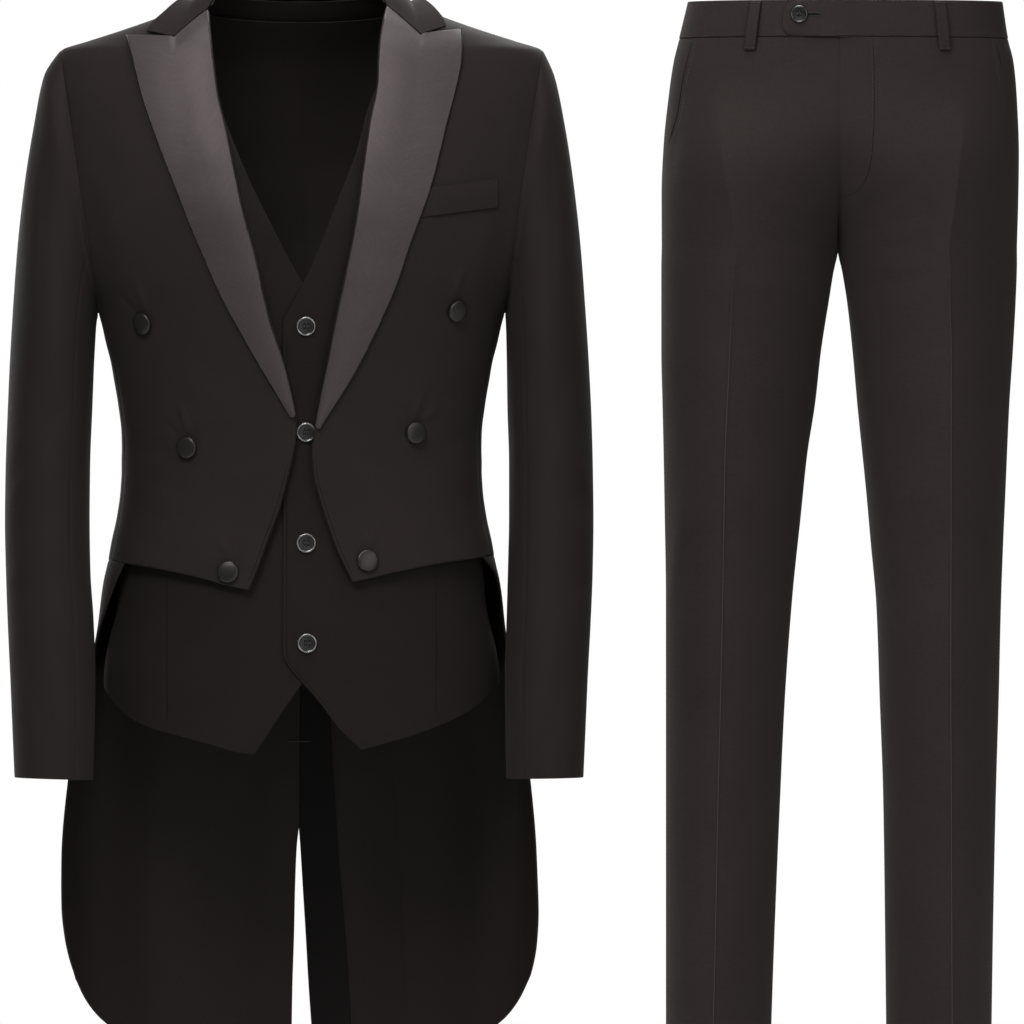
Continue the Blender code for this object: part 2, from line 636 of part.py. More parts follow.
def collar_stand(name):
    """Stand of the collar, inside the fall, from the neckline up to the fold."""
    share = COLLAR_STAND["starts"] + (1 - COLLAR_STAND["starts"]) * shares(COLLAR_STEPS)
    back = np.array(COLLAR_STAND["back_neck"])
    halves = []
    for side in (-1, 1):
        neckline = np.concatenate([front_neckline(side)[::-1], back])
        base = along(on_body(1, neckline[:, 0], neckline[:, 1], 0.0, COAT_BODY), share) * (side, 1, 1)
        fold = fold_line(side, share)
        outward = fold * (1, 1, 0) / np.linalg.norm(fold * (1, 1, 0), axis=-1, keepdims=True)
        top = fold - COLLAR_STAND["inside_fold"] * outward - (0, 0, COLLAR_STAND["below_fold"])
        base = base - COLLAR_STAND["inside_neck"] * outward + (0, 0, COLLAR_STAND["above_neck"])
        rows = shares(2)[:, None, None]
        halves.append((base + rows * (top - base), outward))
    grid = np.concatenate([halves[0][0], halves[1][0][:, -2::-1]], axis=1)
    outward = np.concatenate([halves[0][1], halves[1][1][-2::-1]])
    return wall(name, grid, grid - COLLAR_STAND["wall"] * outward[None], "coat_wool")


# Sleeves. A ring lies between an outer and an inner point of the sleeve's outline and is deep to front and back.

SLEEVE_RINGS = {
    1: table(
        "outer_x outer_z inner_x inner_z middle_y depth",
        (214, -43.5, 180.5, -277, 0, 60), (224, -65, 180.8, -280, -1, 64), (234, -112, 181, -283, -2, 67),
        (241.5, -162, 181.2, -287, -3, 69), (247.5, -216, 181.4, -292, -4, 70), (251.5, -268, 181.6, -299, -5, 70),
        (255, -322, 182, -320, -7, 68), (257.3, -370, 182.6, -362, -10, 66), (258.5, -415, 184, -410, -15, 63),
        (259, -460, 184, -458, -20, 60), (258.3, -505, 183, -505, -26, 58), (256.5, -550, 181.8, -550, -32, 56),
        (254, -597, 180.3, -597, -37, 54), (252, -643, 180.8, -643, -41, 52), (250, -688, 181.6, -689, -44, 51)),
    -1: table(
        "outer_x outer_z inner_x inner_z middle_y depth",
        (214, -43.5, 180.5, -277, 0, 60), (228, -64, 181, -280, -1, 64), (238, -112, 181.6, -283, -2, 67),
        (246, -162, 182.1, -287, -3, 69), (252, -216, 182.5, -292, -4, 70), (256, -270, 182.9, -299, -5, 70),
        (259, -322, 184, -320, -7, 68), (261, -370, 185.6, -362, -10, 66), (262.5, -415, 187.4, -410, -15, 63),
        (263, -460, 187.8, -458, -20, 60), (262, -505, 187, -505, -26, 58), (260.3, -550, 184, -550, -32, 56),
        (258, -597, 182.4, -597, -37, 54), (256, -643, 183, -643, -41, 52), (254, -688, 184.2, -690, -44, 51)),
}
SLEEVE_FOLDS = table(
    "ring turn reach width height", (7.0, -60, 1.0, 70, -4), (8.6, -50, 0.8, 60, -5), (8.0, 60, 1.2, 70, 3),
    (10.3, -70, 0.8, 60, -4), (12.2, -40, 0.9, 60, -3), (2.6, -70, 1.2, 50, -3))
SLEEVE_SEAMS = {"front": -125.0, "back": 110.0, "half_gap": 0.2}    # in degrees round the sleeve
SLEEVE_COLUMNS = {"top": 9, "under": 5}


def sleeve_point(side, turn, ring):
    """Point of a sleeve's outer face. Turn 0 is the outside, 90 the back, 180 the side next to the body."""
    rings = SLEEVE_RINGS[side]
    count = np.arange(len(rings["depth"]))
    read = {column: smooth(ring, count, values) for column, values in rings.items()}
    angle = np.radians(turn)
    reach = np.cos(angle)
    x = (read["outer_x"] + read["inner_x"]) / 2 + (read["outer_x"] - read["inner_x"]) / 2 * reach
    z = (read["outer_z"] + read["inner_z"]) / 2 + (read["outer_z"] - read["inner_z"]) / 2 * reach
    fold = 0
    for i in range(len(SLEEVE_FOLDS["ring"])):
        lines = {column: values[i] for column, values in SLEEVE_FOLDS.items()}
        near = np.exp(-((ring - lines["ring"]) / lines["reach"]) ** 2)
        away = (turn - lines["turn"] + 180) % 360 - 180
        fold = fold + lines["height"] * near * np.exp(-(away / lines["width"]) ** 2)
    y = read["middle_y"] + (read["depth"] + fold) * np.sin(angle)
    # At the armhole the ring follows the coat's own edge.
    hole = COAT_ARMHOLE
    hole_x = hole["top_x"] + (1 - reach) / 2 * (hole["low_x"] - hole["top_x"])
    hole_z = hole["top_z"] + (1 - reach) / 2 * (hole["low_z"] - hole["top_z"])
    half, front, back = girth(hole_z, COAT_BODY)
    depth = np.where(np.sin(angle) > 0, back, -front)
    hole_y = depth * np.sqrt(np.maximum(0, 1 - (hole_x / half) ** 2))
    share = ease(ring)
    x = x * share + (hole_x + SEAM) * (1 - share)
    z = z * share + hole_z * (1 - share)
    y = y * share + hole_y * (1 - share)
    return np.stack([x * side, y, z], axis=-1)


def sleeve(side, name, turns):
    """One part of a sleeve between two seams, as a wall that ends flat at the armhole."""
    ring = np.arange(len(SLEEVE_RINGS[side]["depth"]), dtype=float)[:, None]
    turns = turns[None, :]
    outer = sleeve_point(side, turns, ring)
    round_it = sleeve_point(side, turns + 0.5, ring) - sleeve_point(side, turns - 0.5, ring)
    late = np.minimum(ring + 0.05, ring.max())
    early = np.maximum(ring - 0.05, 0)
    down_it = sleeve_point(side, turns, late) - sleeve_point(side, turns, early)
    normal = np.cross(round_it, down_it)
    normal /= np.linalg.norm(normal, axis=-1, keepdims=True)
    inner = outer + COAT_WALL * side * normal
    middle = (sleeve_point(side, np.zeros(1), np.zeros(1)) + sleeve_point(side, np.full(1, 180.0), np.zeros(1))) / 2
    flat = outer[0] - middle
    inner[0] = middle + flat * (1 - COAT_WALL / np.linalg.norm(flat, axis=-1, keepdims=True))
    return wall(name, outer, inner, "coat_wool")


def sleeves(side, side_name):
    """Top sleeve and under sleeve of one arm."""
    gap = SLEEVE_SEAMS["half_gap"]
    front = SLEEVE_SEAMS["front"]
    back = SLEEVE_SEAMS["back"]
    top = np.linspace(front + gap, back - gap, SLEEVE_COLUMNS["top"] + 1)
    under = np.linspace(back + gap, front + 360 - gap, SLEEVE_COLUMNS["under"] + 1)
    sleeve(side, f"sleeve_top_{side_name}", top)
    sleeve(side, f"sleeve_under_{side_name}", under)


# Waistcoat

VEST_EDGE = {
    1: table(
        "z x", (0, 96), (-20, 93), (-48, 84), (-83, 64), (-134, 50), (-173, 35), (-213, 20), (-253, 2), (-275, -10),
        (-286, -16), (-400, -16), (-578, -16), (-592, -9), (-603, 1), (-622, 18), (-644, 35), (-663, 55)),
    -1: table(
        "z x", (0, 96), (-25, 93), (-60, 86), (-110, 66), (-150, 50), (-188, 32), (-226, 13), (-252, -2), (-275, -16),
        (-292, -26), (-400, -26), (-578, -24), (-592, -10), (-605, -1), (-624, 13), (-655, 34), (-667, 42)),
}
VEST_HEM = {
    1: table("x z", (55, -663), (72, -658), (108, -647), (137, -635), (158, -622), (173, -604)),
    -1: table("x z", (42, -667), (57, -665), (77, -659), (111, -650), (140, -641), (160, -628), (173, -606)),
}
VEST_DROP = 8.0       # the waistcoat lies this far inside the coat's outer face
VEST_SHOULDER = {"drop": 2.9, "spread": 22.0, "low_z": -60.0, "high_z": -30.0}
VEST_LAP = {"under": 2.4, "from_x": 30.0, "to_x": 60.0, "from_z": -200.0, "to_z": -240.0}
VEST_HEM_SPREAD = 1.045    # the hem's distances from the middle are met inside the waistcoat's outer face
VEST_BACK_HEM = -588.0
VEST_ROWS = {"armhole": 6, "body": 8}
VEST_COLUMNS = {"front": 7, "back": 6}
VEST_BACK_NECK = -12.0


def vest_drop(grid):
    """How far inside the coat's face the waistcoat lies; it comes up under the coat at the shoulder seam."""
    near = ease(1 - np.abs(grid[..., 0] - 90) / VEST_SHOULDER["spread"])
    high = ease((grid[..., 1] - VEST_SHOULDER["low_z"]) / (VEST_SHOULDER["high_z"] - VEST_SHOULDER["low_z"]))
    return VEST_DROP - (VEST_DROP - VEST_SHOULDER["drop"]) * near * high


def vest_side_seam(side):
    """Side seam of the waistcoat, from the armhole to the hem."""
    low = VEST_ARMHOLE["low_z"]
    hem = VEST_HEM[side]["z"][-1]
    return pair(90.0, low + shares(VEST_ROWS["body"]) * (hem - low))


def vest_front(side, name):
    """Front of the waistcoat with its neckline, lap and pointed hem."""
    upper = armhole(np.linspace(0, 180, VEST_ROWS["armhole"] + 1), VEST_ARMHOLE, VEST_BODY)
    right = np.concatenate([upper, vest_side_seam(side)[1:]])
    edge = VEST_EDGE[side]
    share = (right[:, 1] - right[0, 1]) / (right[-1, 1] - right[0, 1])
    z = edge["z"][0] + share * (edge["z"][-1] - edge["z"][0])
    left = pair(angle_of(smooth(z, edge["z"], edge["x"]), z, VEST_BODY), z)
    across = shares(VEST_COLUMNS["front"])
    top = pair(90.0, left[0, 1] + across * (right[0, 1] - left[0, 1]))
    hem = VEST_HEM[side]
    hem_x = hem["x"][0] + across * (hem["x"][-1] - hem["x"][0])
    hem_z = smooth(hem_x, hem["x"], hem["z"])
    bottom = pair(angle_of(hem_x * VEST_HEM_SPREAD, hem_z, VEST_BODY), hem_z)
    bottom[0] = left[-1]
    bottom[-1] = right[-1]
    right[1:, 0] = moved_round(right[1:, 0], right[1:, 1], -SEAM / 2, VEST_BODY)
    top[:, 0] -= SEAM / 3
    left[0] = top[0]
    right[0] = top[-1]
    bottom[-1] = right[-1]
    grid = coons(left, right, top, bottom)
    drop = vest_drop(grid)
    if side < 0:
        x = girth(grid[..., 1], VEST_BODY)[0] * np.sin(np.radians(grid[..., 0]))
        near = 1 - ease((x - VEST_LAP["from_x"]) / (VEST_LAP["to_x"] - VEST_LAP["from_x"]))
        low = ease((grid[..., 1] - VEST_LAP["from_z"]) / (VEST_LAP["to_z"] - VEST_LAP["from_z"]))
        drop = drop + VEST_LAP["under"] * near * low
    return panel(name, side, grid, -drop, VEST_WALL, VEST_BODY, "waistcoat_wool")


def vest_back(side, name):
    """Back of the waistcoat, which the coat hides."""
    upper = armhole(np.linspace(360, 180.01, VEST_ROWS["armhole"] + 1), VEST_ARMHOLE, VEST_BODY)
    right = np.concatenate([upper, vest_side_seam(side)[1:]])
    right[:, 0] = moved_round(right[:, 0], right[:, 1], SEAM / 2, VEST_BODY)
    neck_rows = 2
    neck_share = shares(neck_rows)
    start = VEST_EDGE[side]["z"][0]
    neck = pair(90 + SEAM / 3 + neck_share * (90 - SEAM / 3), start + ease(neck_share) * (VEST_BACK_NECK - start))
    below = right[neck_rows:, 1]
    share = (below - below[0]) / (below[-1] - below[0])
    z = VEST_BACK_NECK + share * (VEST_BACK_HEM - VEST_BACK_NECK)
    middle = moved_round(180.0, z, -SEAM / 2, VEST_BODY)
    left = np.concatenate([neck[:-1], pair(middle, z)])
    across = shares(VEST_COLUMNS["back"])
    top = pair(90 + SEAM / 3, left[0, 1] + across * (right[0, 1] - left[0, 1]))
    right[0] = top[-1]
    bottom = left[-1] + across[:, None] * (right[-1] - left[-1])
    grid = coons(left, right, top, bottom)
    drop = vest_drop(grid)
    return panel(name, side, grid, -drop, VEST_WALL, VEST_BODY, "waistcoat_wool")


# Trousers. Above the crotch each half is a quarter of an oval, below it a creased tube.

TROUSER_MIDDLE = 476.0
CROTCH_Z = -219.0
FORK_START = -45.0
WAISTBAND_LOW = -33.0
TROUSER_HEM = -1038.0
LEG_OUTLINE = {
    -1: table(
        "z outer inner crease", (0, 133, 0, 92), (-33, 141, 0, 90), (-53, 146, 0, 89), (-88, 151, 0, 88),
        (-127, 155, 0, 87), (-173, 157, 0, 87), (-219, 157, 0, 91), (-241, 157, 4, 93), (-266, 157, 8, 95),
        (-311, 157, 15, 97), (-356, 156, 20, 99), (-401, 155, 27, 101), (-458, 154, 33, 102), (-525, 153, 40, 103),
        (-620, 153, 47, 105), (-704, 153, 51, 107), (-851, 153, 57, 110), (-1040, 153, 63, 115)),
    1: table(
        "z outer inner crease", (0, 146, 0, 84), (-33, 151, 0, 86), (-53, 156, 0, 87), (-84, 159, 0, 89),
        (-137, 161, 0, 91), (-180, 160.5, 0, 95), (-219, 159.5, 0, 97), (-241, 159, 4, 98), (-266, 158, 8, 98),
        (-311, 155.5, 13, 99), (-356, 152.5, 17, 99), (-435, 149, 25, 99), (-480, 147, 29, 99), (-536, 145, 34, 99),
        (-620, 143, 37, 99), (-704, 140.5, 40, 99.5), (-851, 137.5, 42, 100), (-1040, 135, 44, 101)),
}
LEG_DEPTH = table(
    "z front back", (0, 90, 97), (-33, 93, 101), (-80, 96, 110), (-130, 98, 117), (-180, 98, 119), (-230, 96, 116),
    (-280, 92, 109), (-340, 87, 100), (-430, 80, 89), (-520, 74, 80), (-640, 69, 73), (-800, 65, 70), (-1040, 63, 70))
CREASE_SHARPNESS = 0.34
PROFILE_SHARES = np.linspace(0, 1, 61)    # where a row of a trouser half is searched for its deepest point
TROUSER_ROWS = (-33.4, -62, -92, -120, -146, -170, -190, -206, -219, -240, -275, -330, -410, -520, -660, -840, -1038)
TROUSER_COLUMNS = 8


def trouser_profile(share, fork):
    """Depth of a trouser half as a part of its greatest depth, at a share across it. Fork is 0 above, 1 below."""
    swing = np.radians((2 * share - 1) * 90)
    peak = 1 - np.abs(np.sin(swing))
    leg = (1 - CREASE_SHARPNESS) * np.cos(swing) + CREASE_SHARPNESS * peak
    return (1 - fork) * np.cos(np.radians(share * 90)) + fork * leg


def trouser_point(side, behind, share, z):
    """Point of a trouser half: share 0 is the middle seam or the inseam, 0.5 the crease and 1 the side seam."""
    outline = {column: smooth(z, LEG_OUTLINE[side]["z"], LEG_OUTLINE[side][column]) for column in LEG_OUTLINE[side]}
    depth = smooth(z, LEG_DEPTH["z"], LEG_DEPTH["back" if behind else "front"])
    quarter = np.radians(share * 90)
    hip_x = outline["outer"] * np.sin(quarter)
    swing = np.radians((2 * share - 1) * 90)
    inner_reach = outline["crease"] - outline["inner"]
    outer_reach = outline["outer"] - outline["crease"]
    leg_x = outline["crease"] + np.sin(swing) * np.where(swing > 0, outer_reach, inner_reach)
    fork = np.clip((FORK_START - z) / (FORK_START - CROTCH_Z), 0, 1) ** 2
    fullest = np.max(trouser_profile(PROFILE_SHARES, np.asarray(fork)[..., None]), axis=-1)
    x = hip_x * (1 - fork) + leg_x * fork + SEAM / 2
    y = depth * trouser_profile(share, fork) / fullest + SEAM / 2
    return np.stack([TROUSER_MIDDLE + side * x, y * (1 if behind else -1), z + 0 * x], axis=-1)


def trouser_face(side, behind, share, z, out):
    """Points of a trouser half moved out along the normal."""
    small = 0.002
    inside = np.clip(share, small, 1 - small)
    level = np.clip(z, TROUSER_HEM, -STEP)
    round_it = trouser_point(side, behind, inside + small, level) - trouser_point(side, behind, inside - small, level)
    down_it = trouser_point(side, behind, share, level - 1) - trouser_point(side, behind, share, level + 1)
    normal = np.cross(round_it, down_it)
    normal /= np.linalg.norm(normal, axis=-1, keepdims=True)
    normal *= np.sign(normal[..., 1:2]) * (1 if behind else -1)
    return trouser_point(side, behind, share, z) + np.asarray(out, float)[..., None] * normal


def trouser_panel(side, behind, name):
    """Front or back of one leg, from the waistband to the hem."""
    share = shares(TROUSER_COLUMNS)[None, :]
    z = np.array(TROUSER_ROWS)[:, None]
    share, z = np.broadcast_arrays(share, z)
    outer = trouser_face(side, behind, share, z, 0.0)
    inner = trouser_face(side, behind, share, z, -TROUSER_WALL)
    return wall(name, outer, inner, "trouser_wool")


WAISTBAND_WALL = 2.2
WAISTBAND_TAB = {"reach": 48.0, "lift": WAISTBAND_WALL + 0.6, "rise": 22.0}
BAND_END = 179.9      # both parts of the waistband stop short of the middle of the back


def band_point(place, z, out):
    """Point of the waistband: place runs in degrees from -180 behind, through 0 in front, to 180 behind."""
    side = np.where(place < 0, -1, 1)
    outer = np.where(
        side < 0,
        smooth(z, LEG_OUTLINE[-1]["z"], LEG_OUTLINE[-1]["outer"]),
        smooth(z, LEG_OUTLINE[1]["z"], LEG_OUTLINE[1]["outer"]))
    turn = np.radians(place)
    front = smooth(z, LEG_DEPTH["z"], LEG_DEPTH["front"])
    back = smooth(z, LEG_DEPTH["z"], LEG_DEPTH["back"])
    depth = np.where(np.cos(turn) > 0, front, back)
    point = np.stack([TROUSER_MIDDLE + (outer + SEAM / 2) * np.sin(turn), -depth * np.cos(turn), z + 0 * turn], axis=-1)
    outward = np.stack([depth * np.sin(turn), -outer * np.cos(turn), 0 * turn], axis=-1)
    outward /= np.linalg.norm(outward, axis=-1, keepdims=True)
    return point + np.asarray(out)[..., None] * outward


def waistband(name, places, laps):
    """One part of the waistband. Where it laps it rises past the middle of the front, over the other part."""
    place = np.array(places)[None, :]
    z = np.array([0.0, WAISTBAND_LOW / 2, WAISTBAND_LOW])[:, None]
    place, z = np.broadcast_arrays(place, z)
    lift = 0.0 * place
    if laps:
        along_band = np.radians(place) * LEG_OUTLINE[-1]["outer"][0]
        lift = WAISTBAND_TAB["lift"] * ease((WAISTBAND_TAB["rise"] - along_band) / WAISTBAND_TAB["rise"])
    outer = band_point(place, z, lift)
    inner = band_point(place, z, lift - WAISTBAND_WALL)
    return wall(name, outer, inner, "trouser_wool")


LOOP = {"width": 11.0, "low_z": -45.0, "top_z": -0.5, "arch": 2.4, "wall": 1.4, "off": 0.6, "radius": 130.0}
LOOP_PLACES = (-33.0, 37.0, -112.0, 112.0, 180.0)    # in degrees round the waistband


def belt_loop(name, place):
    """Belt loop, arched clear of the waistband between its two sewn ends."""
    half = np.degrees(LOOP["width"] / 2 / LOOP["radius"])
    places = np.array([place - half, place + half])[None, :]
    down = shares(6)[:, None]
    z = LOOP["top_z"] + down * (LOOP["low_z"] - LOOP["top_z"])
    places, z = np.broadcast_arrays(places, z)
    lift = LOOP["off"] + LOOP["arch"] * np.sin(np.pi * down) ** 0.6 + 0 * places
    outer = band_point(places, z, lift + LOOP["wall"])
    inner = band_point(places, z, lift)
    return wall(name, outer, inner, "trouser_wool")


# Buttons: (radius, height) from the middle of the underside to the middle of the face

COVERED_BUTTON = ((0, 0), (7.2, 0), (9.7, 1.5), (8.2, 3.6), (4.6, 4.8), (0, 5.2))
VEST_BUTTON = ((0, 0), (6.6, 0), (8.6, 1.1), (8.4, 2.6), (7.4, 3.0), (6.2, 2.3), (0, 2.1))
TROUSER_BUTTON = ((0, 0), (6.0, 0), (7.7, 1.0), (7.5, 2.3), (6.6, 2.7), (5.4, 2.0), (0, 1.8))
COAT_BUTTONS = table(
    "side x z", (1, 137, -275), (1, 101, -383), (1, 59, -496), (-1, 139, -286), (-1, 100, -396), (-1, 64, -506))
VEST_BUTTON_PLACES = table("x z", (5, -290), (5, -383), (5, -480), (6, -569))
TROUSER_BUTTON_PLACE = {"x": -34.0, "z": -13.0}
BUTTON_SIDES = 12


def button(name, profile, foot, normal, under, finish_name):
    """A button seated a seam's gap above the panel that it is sewn to."""
    normal = np.asarray(normal, float) / np.linalg.norm(normal)
    rim = profile[1][0]
    across = np.cross(normal, (0.0, 0.0, 1.0))
    across /= np.linalg.norm(across)
    upward = np.cross(across, normal)
    turn = np.linspace(0, 2 * np.pi, 24, endpoint=False)
    ring = np.cos(turn)[:, None] * across + np.sin(turn)[:, None] * upward
    rings = [foot[None] + radius * ring for radius in (rim, rim * 0.6, rim * 0.2)]
    lowest = clearance(np.concatenate(rings), normal, under)
    turned(name, profile, foot + (SEAM - lowest) * normal, normal, BUTTON_SIDES, finish_name)


# Breast pocket welt

WELT = {"inner_x": 119.0, "outer_x": 173.0, "top_in": -165.5, "top_out": -158.0, "deep": 26.0, "wall": 1.8}


def breast_welt(name, under):
    """Breast pocket welt, from beside the lapel towards the sleeve."""
    across = shares(3)
    x = WELT["inner_x"] + across * (WELT["outer_x"] - WELT["inner_x"])
    top_z = WELT["top_in"] + across * (WELT["top_out"] - WELT["top_in"])
    rows = shares(2)[:, None]
    z = top_z[None] - rows * WELT["deep"]
    grid = pair(angle_of(x[None] + 0 * z, z, COAT_BODY), z)
    flat = on_body(1, grid[..., 0], grid[..., 1], 0.0, COAT_BODY)
    normal = normal_at(1, grid[1, 1, 0], grid[1, 1, 1], COAT_BODY)
    lift = 2 * SEAM - clearance(flat, normal, under)
    return panel(name, 1, grid, lift + WELT["wall"], WELT["wall"], COAT_BODY, "coat_wool")


# Putting the suit together

SIDES = {1: "left", -1: "right"}
made = {}
for side, side_name in SIDES.items():
    made["front", side] = coat_front(side, f"coat_front_{side_name}")
    coat_side(side, f"coat_side_{side_name}")
    coat_back(side, f"coat_back_{side_name}")
    coat_skirt(side, f"coat_skirt_{side_name}")
    lapel(side, f"lapel_{side_name}")
    sleeves(side, side_name)
    made["vest", side] = vest_front(side, f"waistcoat_front_{side_name}")
    vest_back(side, f"waistcoat_back_{side_name}")
    trouser_panel(side, False, f"trouser_front_{side_name}")
    trouser_panel(side, True, f"trouser_back_{side_name}")
collar_fall("collar_fall")
collar_stand("collar_stand")
vent_facing("vent_facing")

breast_welt("breast_pocket_welt", made["front", 1])

for i in range(len(COAT_BUTTONS["z"])):
    side = int(COAT_BUTTONS["side"][i])
    z = COAT_BUTTONS["z"][i]
    angle = angle_of(COAT_BUTTONS["x"][i], z, COAT_BODY)
    foot = on_body(side, angle, z, 0.0, COAT_BODY)
    normal = normal_at(side, angle, z, COAT_BODY)
    button(f"coat_button_{i + 1}", COVERED_BUTTON, foot, normal, made["front", side], "covered_button")

for i in range(len(VEST_BUTTON_PLACES["z"])):
    z = VEST_BUTTON_PLACES["z"][i]
    angle = angle_of(VEST_BUTTON_PLACES["x"][i], z, VEST_BODY)
    foot = on_body(1, angle, z, -VEST_DROP, VEST_BODY)
    normal = normal_at(1, angle, z, VEST_BODY)
    button(f"waistcoat_button_{i + 1}", VEST_BUTTON, foot, normal, made["vest", 1], "horn_button")

tab_end = -np.degrees(np.arcsin(WAISTBAND_TAB["reach"] / LEG_OUTLINE[-1]["outer"][0]))
lap_places = np.linspace(tab_end, 0, 4)
left_places = [*lap_places, *np.linspace(0, BAND_END, 13)[1:]]
right_places = [BAND_END - 180, *lap_places[2:0:-1], *np.linspace(tab_end, -BAND_END, 11)]
left_band = waistband("waistband_left", left_places, True)
waistband("waistband_right", right_places, False)
for i in range(len(LOOP_PLACES)):
    belt_loop(f"belt_loop_{i + 1}", LOOP_PLACES[i])

place = np.array(np.degrees(np.arcsin(TROUSER_BUTTON_PLACE["x"] / LEG_OUTLINE[-1]["outer"][0])))
z = np.array(TROUSER_BUTTON_PLACE["z"])
foot = band_point(place, z, WAISTBAND_TAB["lift"])
normal = band_point(place, z, 1.0) - band_point(place, z, 0.0)
button("waistband_button", TROUSER_BUTTON, foot, normal, left_band, "horn_button")
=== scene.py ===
import bmesh
import bpy
import numpy as np
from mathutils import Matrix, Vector


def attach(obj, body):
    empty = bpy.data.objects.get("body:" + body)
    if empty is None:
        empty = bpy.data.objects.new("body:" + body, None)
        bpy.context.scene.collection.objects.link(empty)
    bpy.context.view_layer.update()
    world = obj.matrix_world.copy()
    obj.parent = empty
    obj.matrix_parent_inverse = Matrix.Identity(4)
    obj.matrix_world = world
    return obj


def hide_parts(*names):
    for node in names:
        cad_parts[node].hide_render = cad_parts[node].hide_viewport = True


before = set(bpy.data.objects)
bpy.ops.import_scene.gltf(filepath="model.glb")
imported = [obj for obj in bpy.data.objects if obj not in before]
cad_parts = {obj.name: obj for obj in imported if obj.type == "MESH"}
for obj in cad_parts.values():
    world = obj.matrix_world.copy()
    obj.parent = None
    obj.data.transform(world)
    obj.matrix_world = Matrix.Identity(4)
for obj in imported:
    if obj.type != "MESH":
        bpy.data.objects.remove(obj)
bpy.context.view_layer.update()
print("frame loaded:", len(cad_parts), "nodes")

mm = 0.001
levelPart = (1, 1, 0)
sideNames = {1: "Left", -1: "Right"}


# an object for some data, in the scene
def placed(name, data):
    thing = bpy.data.objects.new(name, data)
    bpy.context.scene.collection.objects.link(thing)
    return thing


# Camera: straight on, from far away, framed as the photo is

cameraSet = {
    "across": 0.90624, "middleX": 0.1867, "middleZ": -0.4531, "away": 20.0, "sharpY": -0.06, "sensor": 36.0}
cameraData = bpy.data.cameras.new("mainCamera")
cameraData.sensor_width = cameraSet["sensor"]
cameraData.lens = cameraSet["sensor"] * cameraSet["away"] / cameraSet["across"]
camera = placed("mainCamera", cameraData)
camera.location = (cameraSet["middleX"], cameraSet["sharpY"] - cameraSet["away"], cameraSet["middleZ"])
camera.rotation_euler = (np.pi / 2, 0, 0)
bpy.context.scene.camera = camera
bpy.context.scene.view_settings.view_transform = "Standard"
print("camera placed")


# Curves and grids

# a short table as named columns
def columnsOf(names, *rows):
    return dict(zip(names.split(), np.array(rows, float).T))


# monotone cubic through knots, level past both ends
def smooth(at, knots, values):
    order = np.argsort(knots)
    x = np.asarray(knots, float)[order]
    y = np.asarray(values, float)[order]
    run = np.diff(x)
    slope = np.diff(y) / run
    lean = np.zeros_like(y)
    lean[0], lean[-1] = slope[0], slope[-1]
    agree = slope[:-1] * slope[1:] > 0
    near, far = 2 * run[1:] + run[:-1], run[1:] + 2 * run[:-1]
    before, after = np.where(agree, slope[:-1], 1.0), np.where(agree, slope[1:], 1.0)
    lean[1:-1] = np.where(agree, (near + far) / (near / before + far / after), 0.0)
    at = np.clip(at, x[0], x[-1])
    k = np.clip(np.searchsorted(x, at, "right") - 1, 0, len(run) - 1)
    t = (at - x[k]) / run[k]
    rise = y[k] * (1 + 2 * t) * (1 - t) ** 2 + y[k + 1] * t * t * (3 - 2 * t)
    return rise + run[k] * (lean[k] * t * (1 - t) ** 2 - lean[k + 1] * t * t * (1 - t))


# the same curve averaged over a short reach with weights e^(-t^2); past an end it goes on as its own point mirror
def softened(at, knots, values, spread):
    offset = np.linspace(-2, 2, 17)
    weight = np.exp(-offset ** 2)
    place = np.asarray(at, float)[..., None] + offset * spread
    low, high = np.min(knots), np.max(knots)
    inside = np.where(place < low, 2 * low - place, np.where(place > high, 2 * high - place, place))
    curve = smooth(inside, knots, values)
    curve = np.where(place < low, 2 * smooth(low, knots, values) - curve, curve)
    curve = np.where(place > high, 2 * smooth(high, knots, values) - curve, curve)
    return np.sum(weight * curve, axis=-1) / weight.sum()


# 0 to 1 with level ends: 3t^2 - 2t^3
def ease(t):
    t = np.clip(t, 0, 1)
    return t * t * (3 - 2 * t)


# even shares of 0 to 1
def steps(count):
    return np.linspace(0, 1, count + 1)


# arrays spread to one shape, as points
def pointsOf(*parts):
    return np.stack(np.broadcast_arrays(*parts), axis=-1)


# distance walked from point to point along an axis of a grid
def walked(points, axis=0):
    run = np.diff(points, axis=axis, prepend=np.take(points, [0], axis))
    return np.cumsum(np.linalg.norm(run, axis=-1), axis=axis)


# arrows brought to a length of 1
def unit(arrows):
    return arrows / np.maximum(np.linalg.norm(arrows, axis=-1, keepdims=True), 1e-9)


# smooth curve through points, read at shares of its length
def along(points, share):
    points = np.array(points, float)
    at = walked(points)
    return np.stack([smooth(share * at[-1], at, values) for values in points.T], axis=-1)


# corners joined by straight lines, read at shares that the corners are given for
def cornered(points, at, share):
    return np.stack([np.interp(share, at, values) for values in np.array(points, float).T], axis=-1)


# grid between four edges: side to side plus top to bottom, less the corners that both count
def filledGrid(left, right, top, bottom):
    v = steps(len(left) - 1)[:, None, None]
    u = steps(len(top) - 1)[None, :, None]
    across = (1 - u) * left[:, None] + u * right[:, None]
    down = (1 - v) * top[None] + v * bottom[None]
    upper = (1 - u) * left[0] + u * right[0]
    lower = (1 - u) * left[-1] + u * right[-1]
    return across + down - (1 - v) * upper - v * lower


# unit normals of a grid of points: the cross of its two runs over its length
def gridNormals(grid):
    return unit(np.cross(np.gradient(grid, axis=1), np.gradient(grid, axis=0)))


# 1 where the normals of a grid already point the way that away does, or else -1
def facingOf(grid, away):
    return np.sign(np.sum(gridNormals(grid) * away))


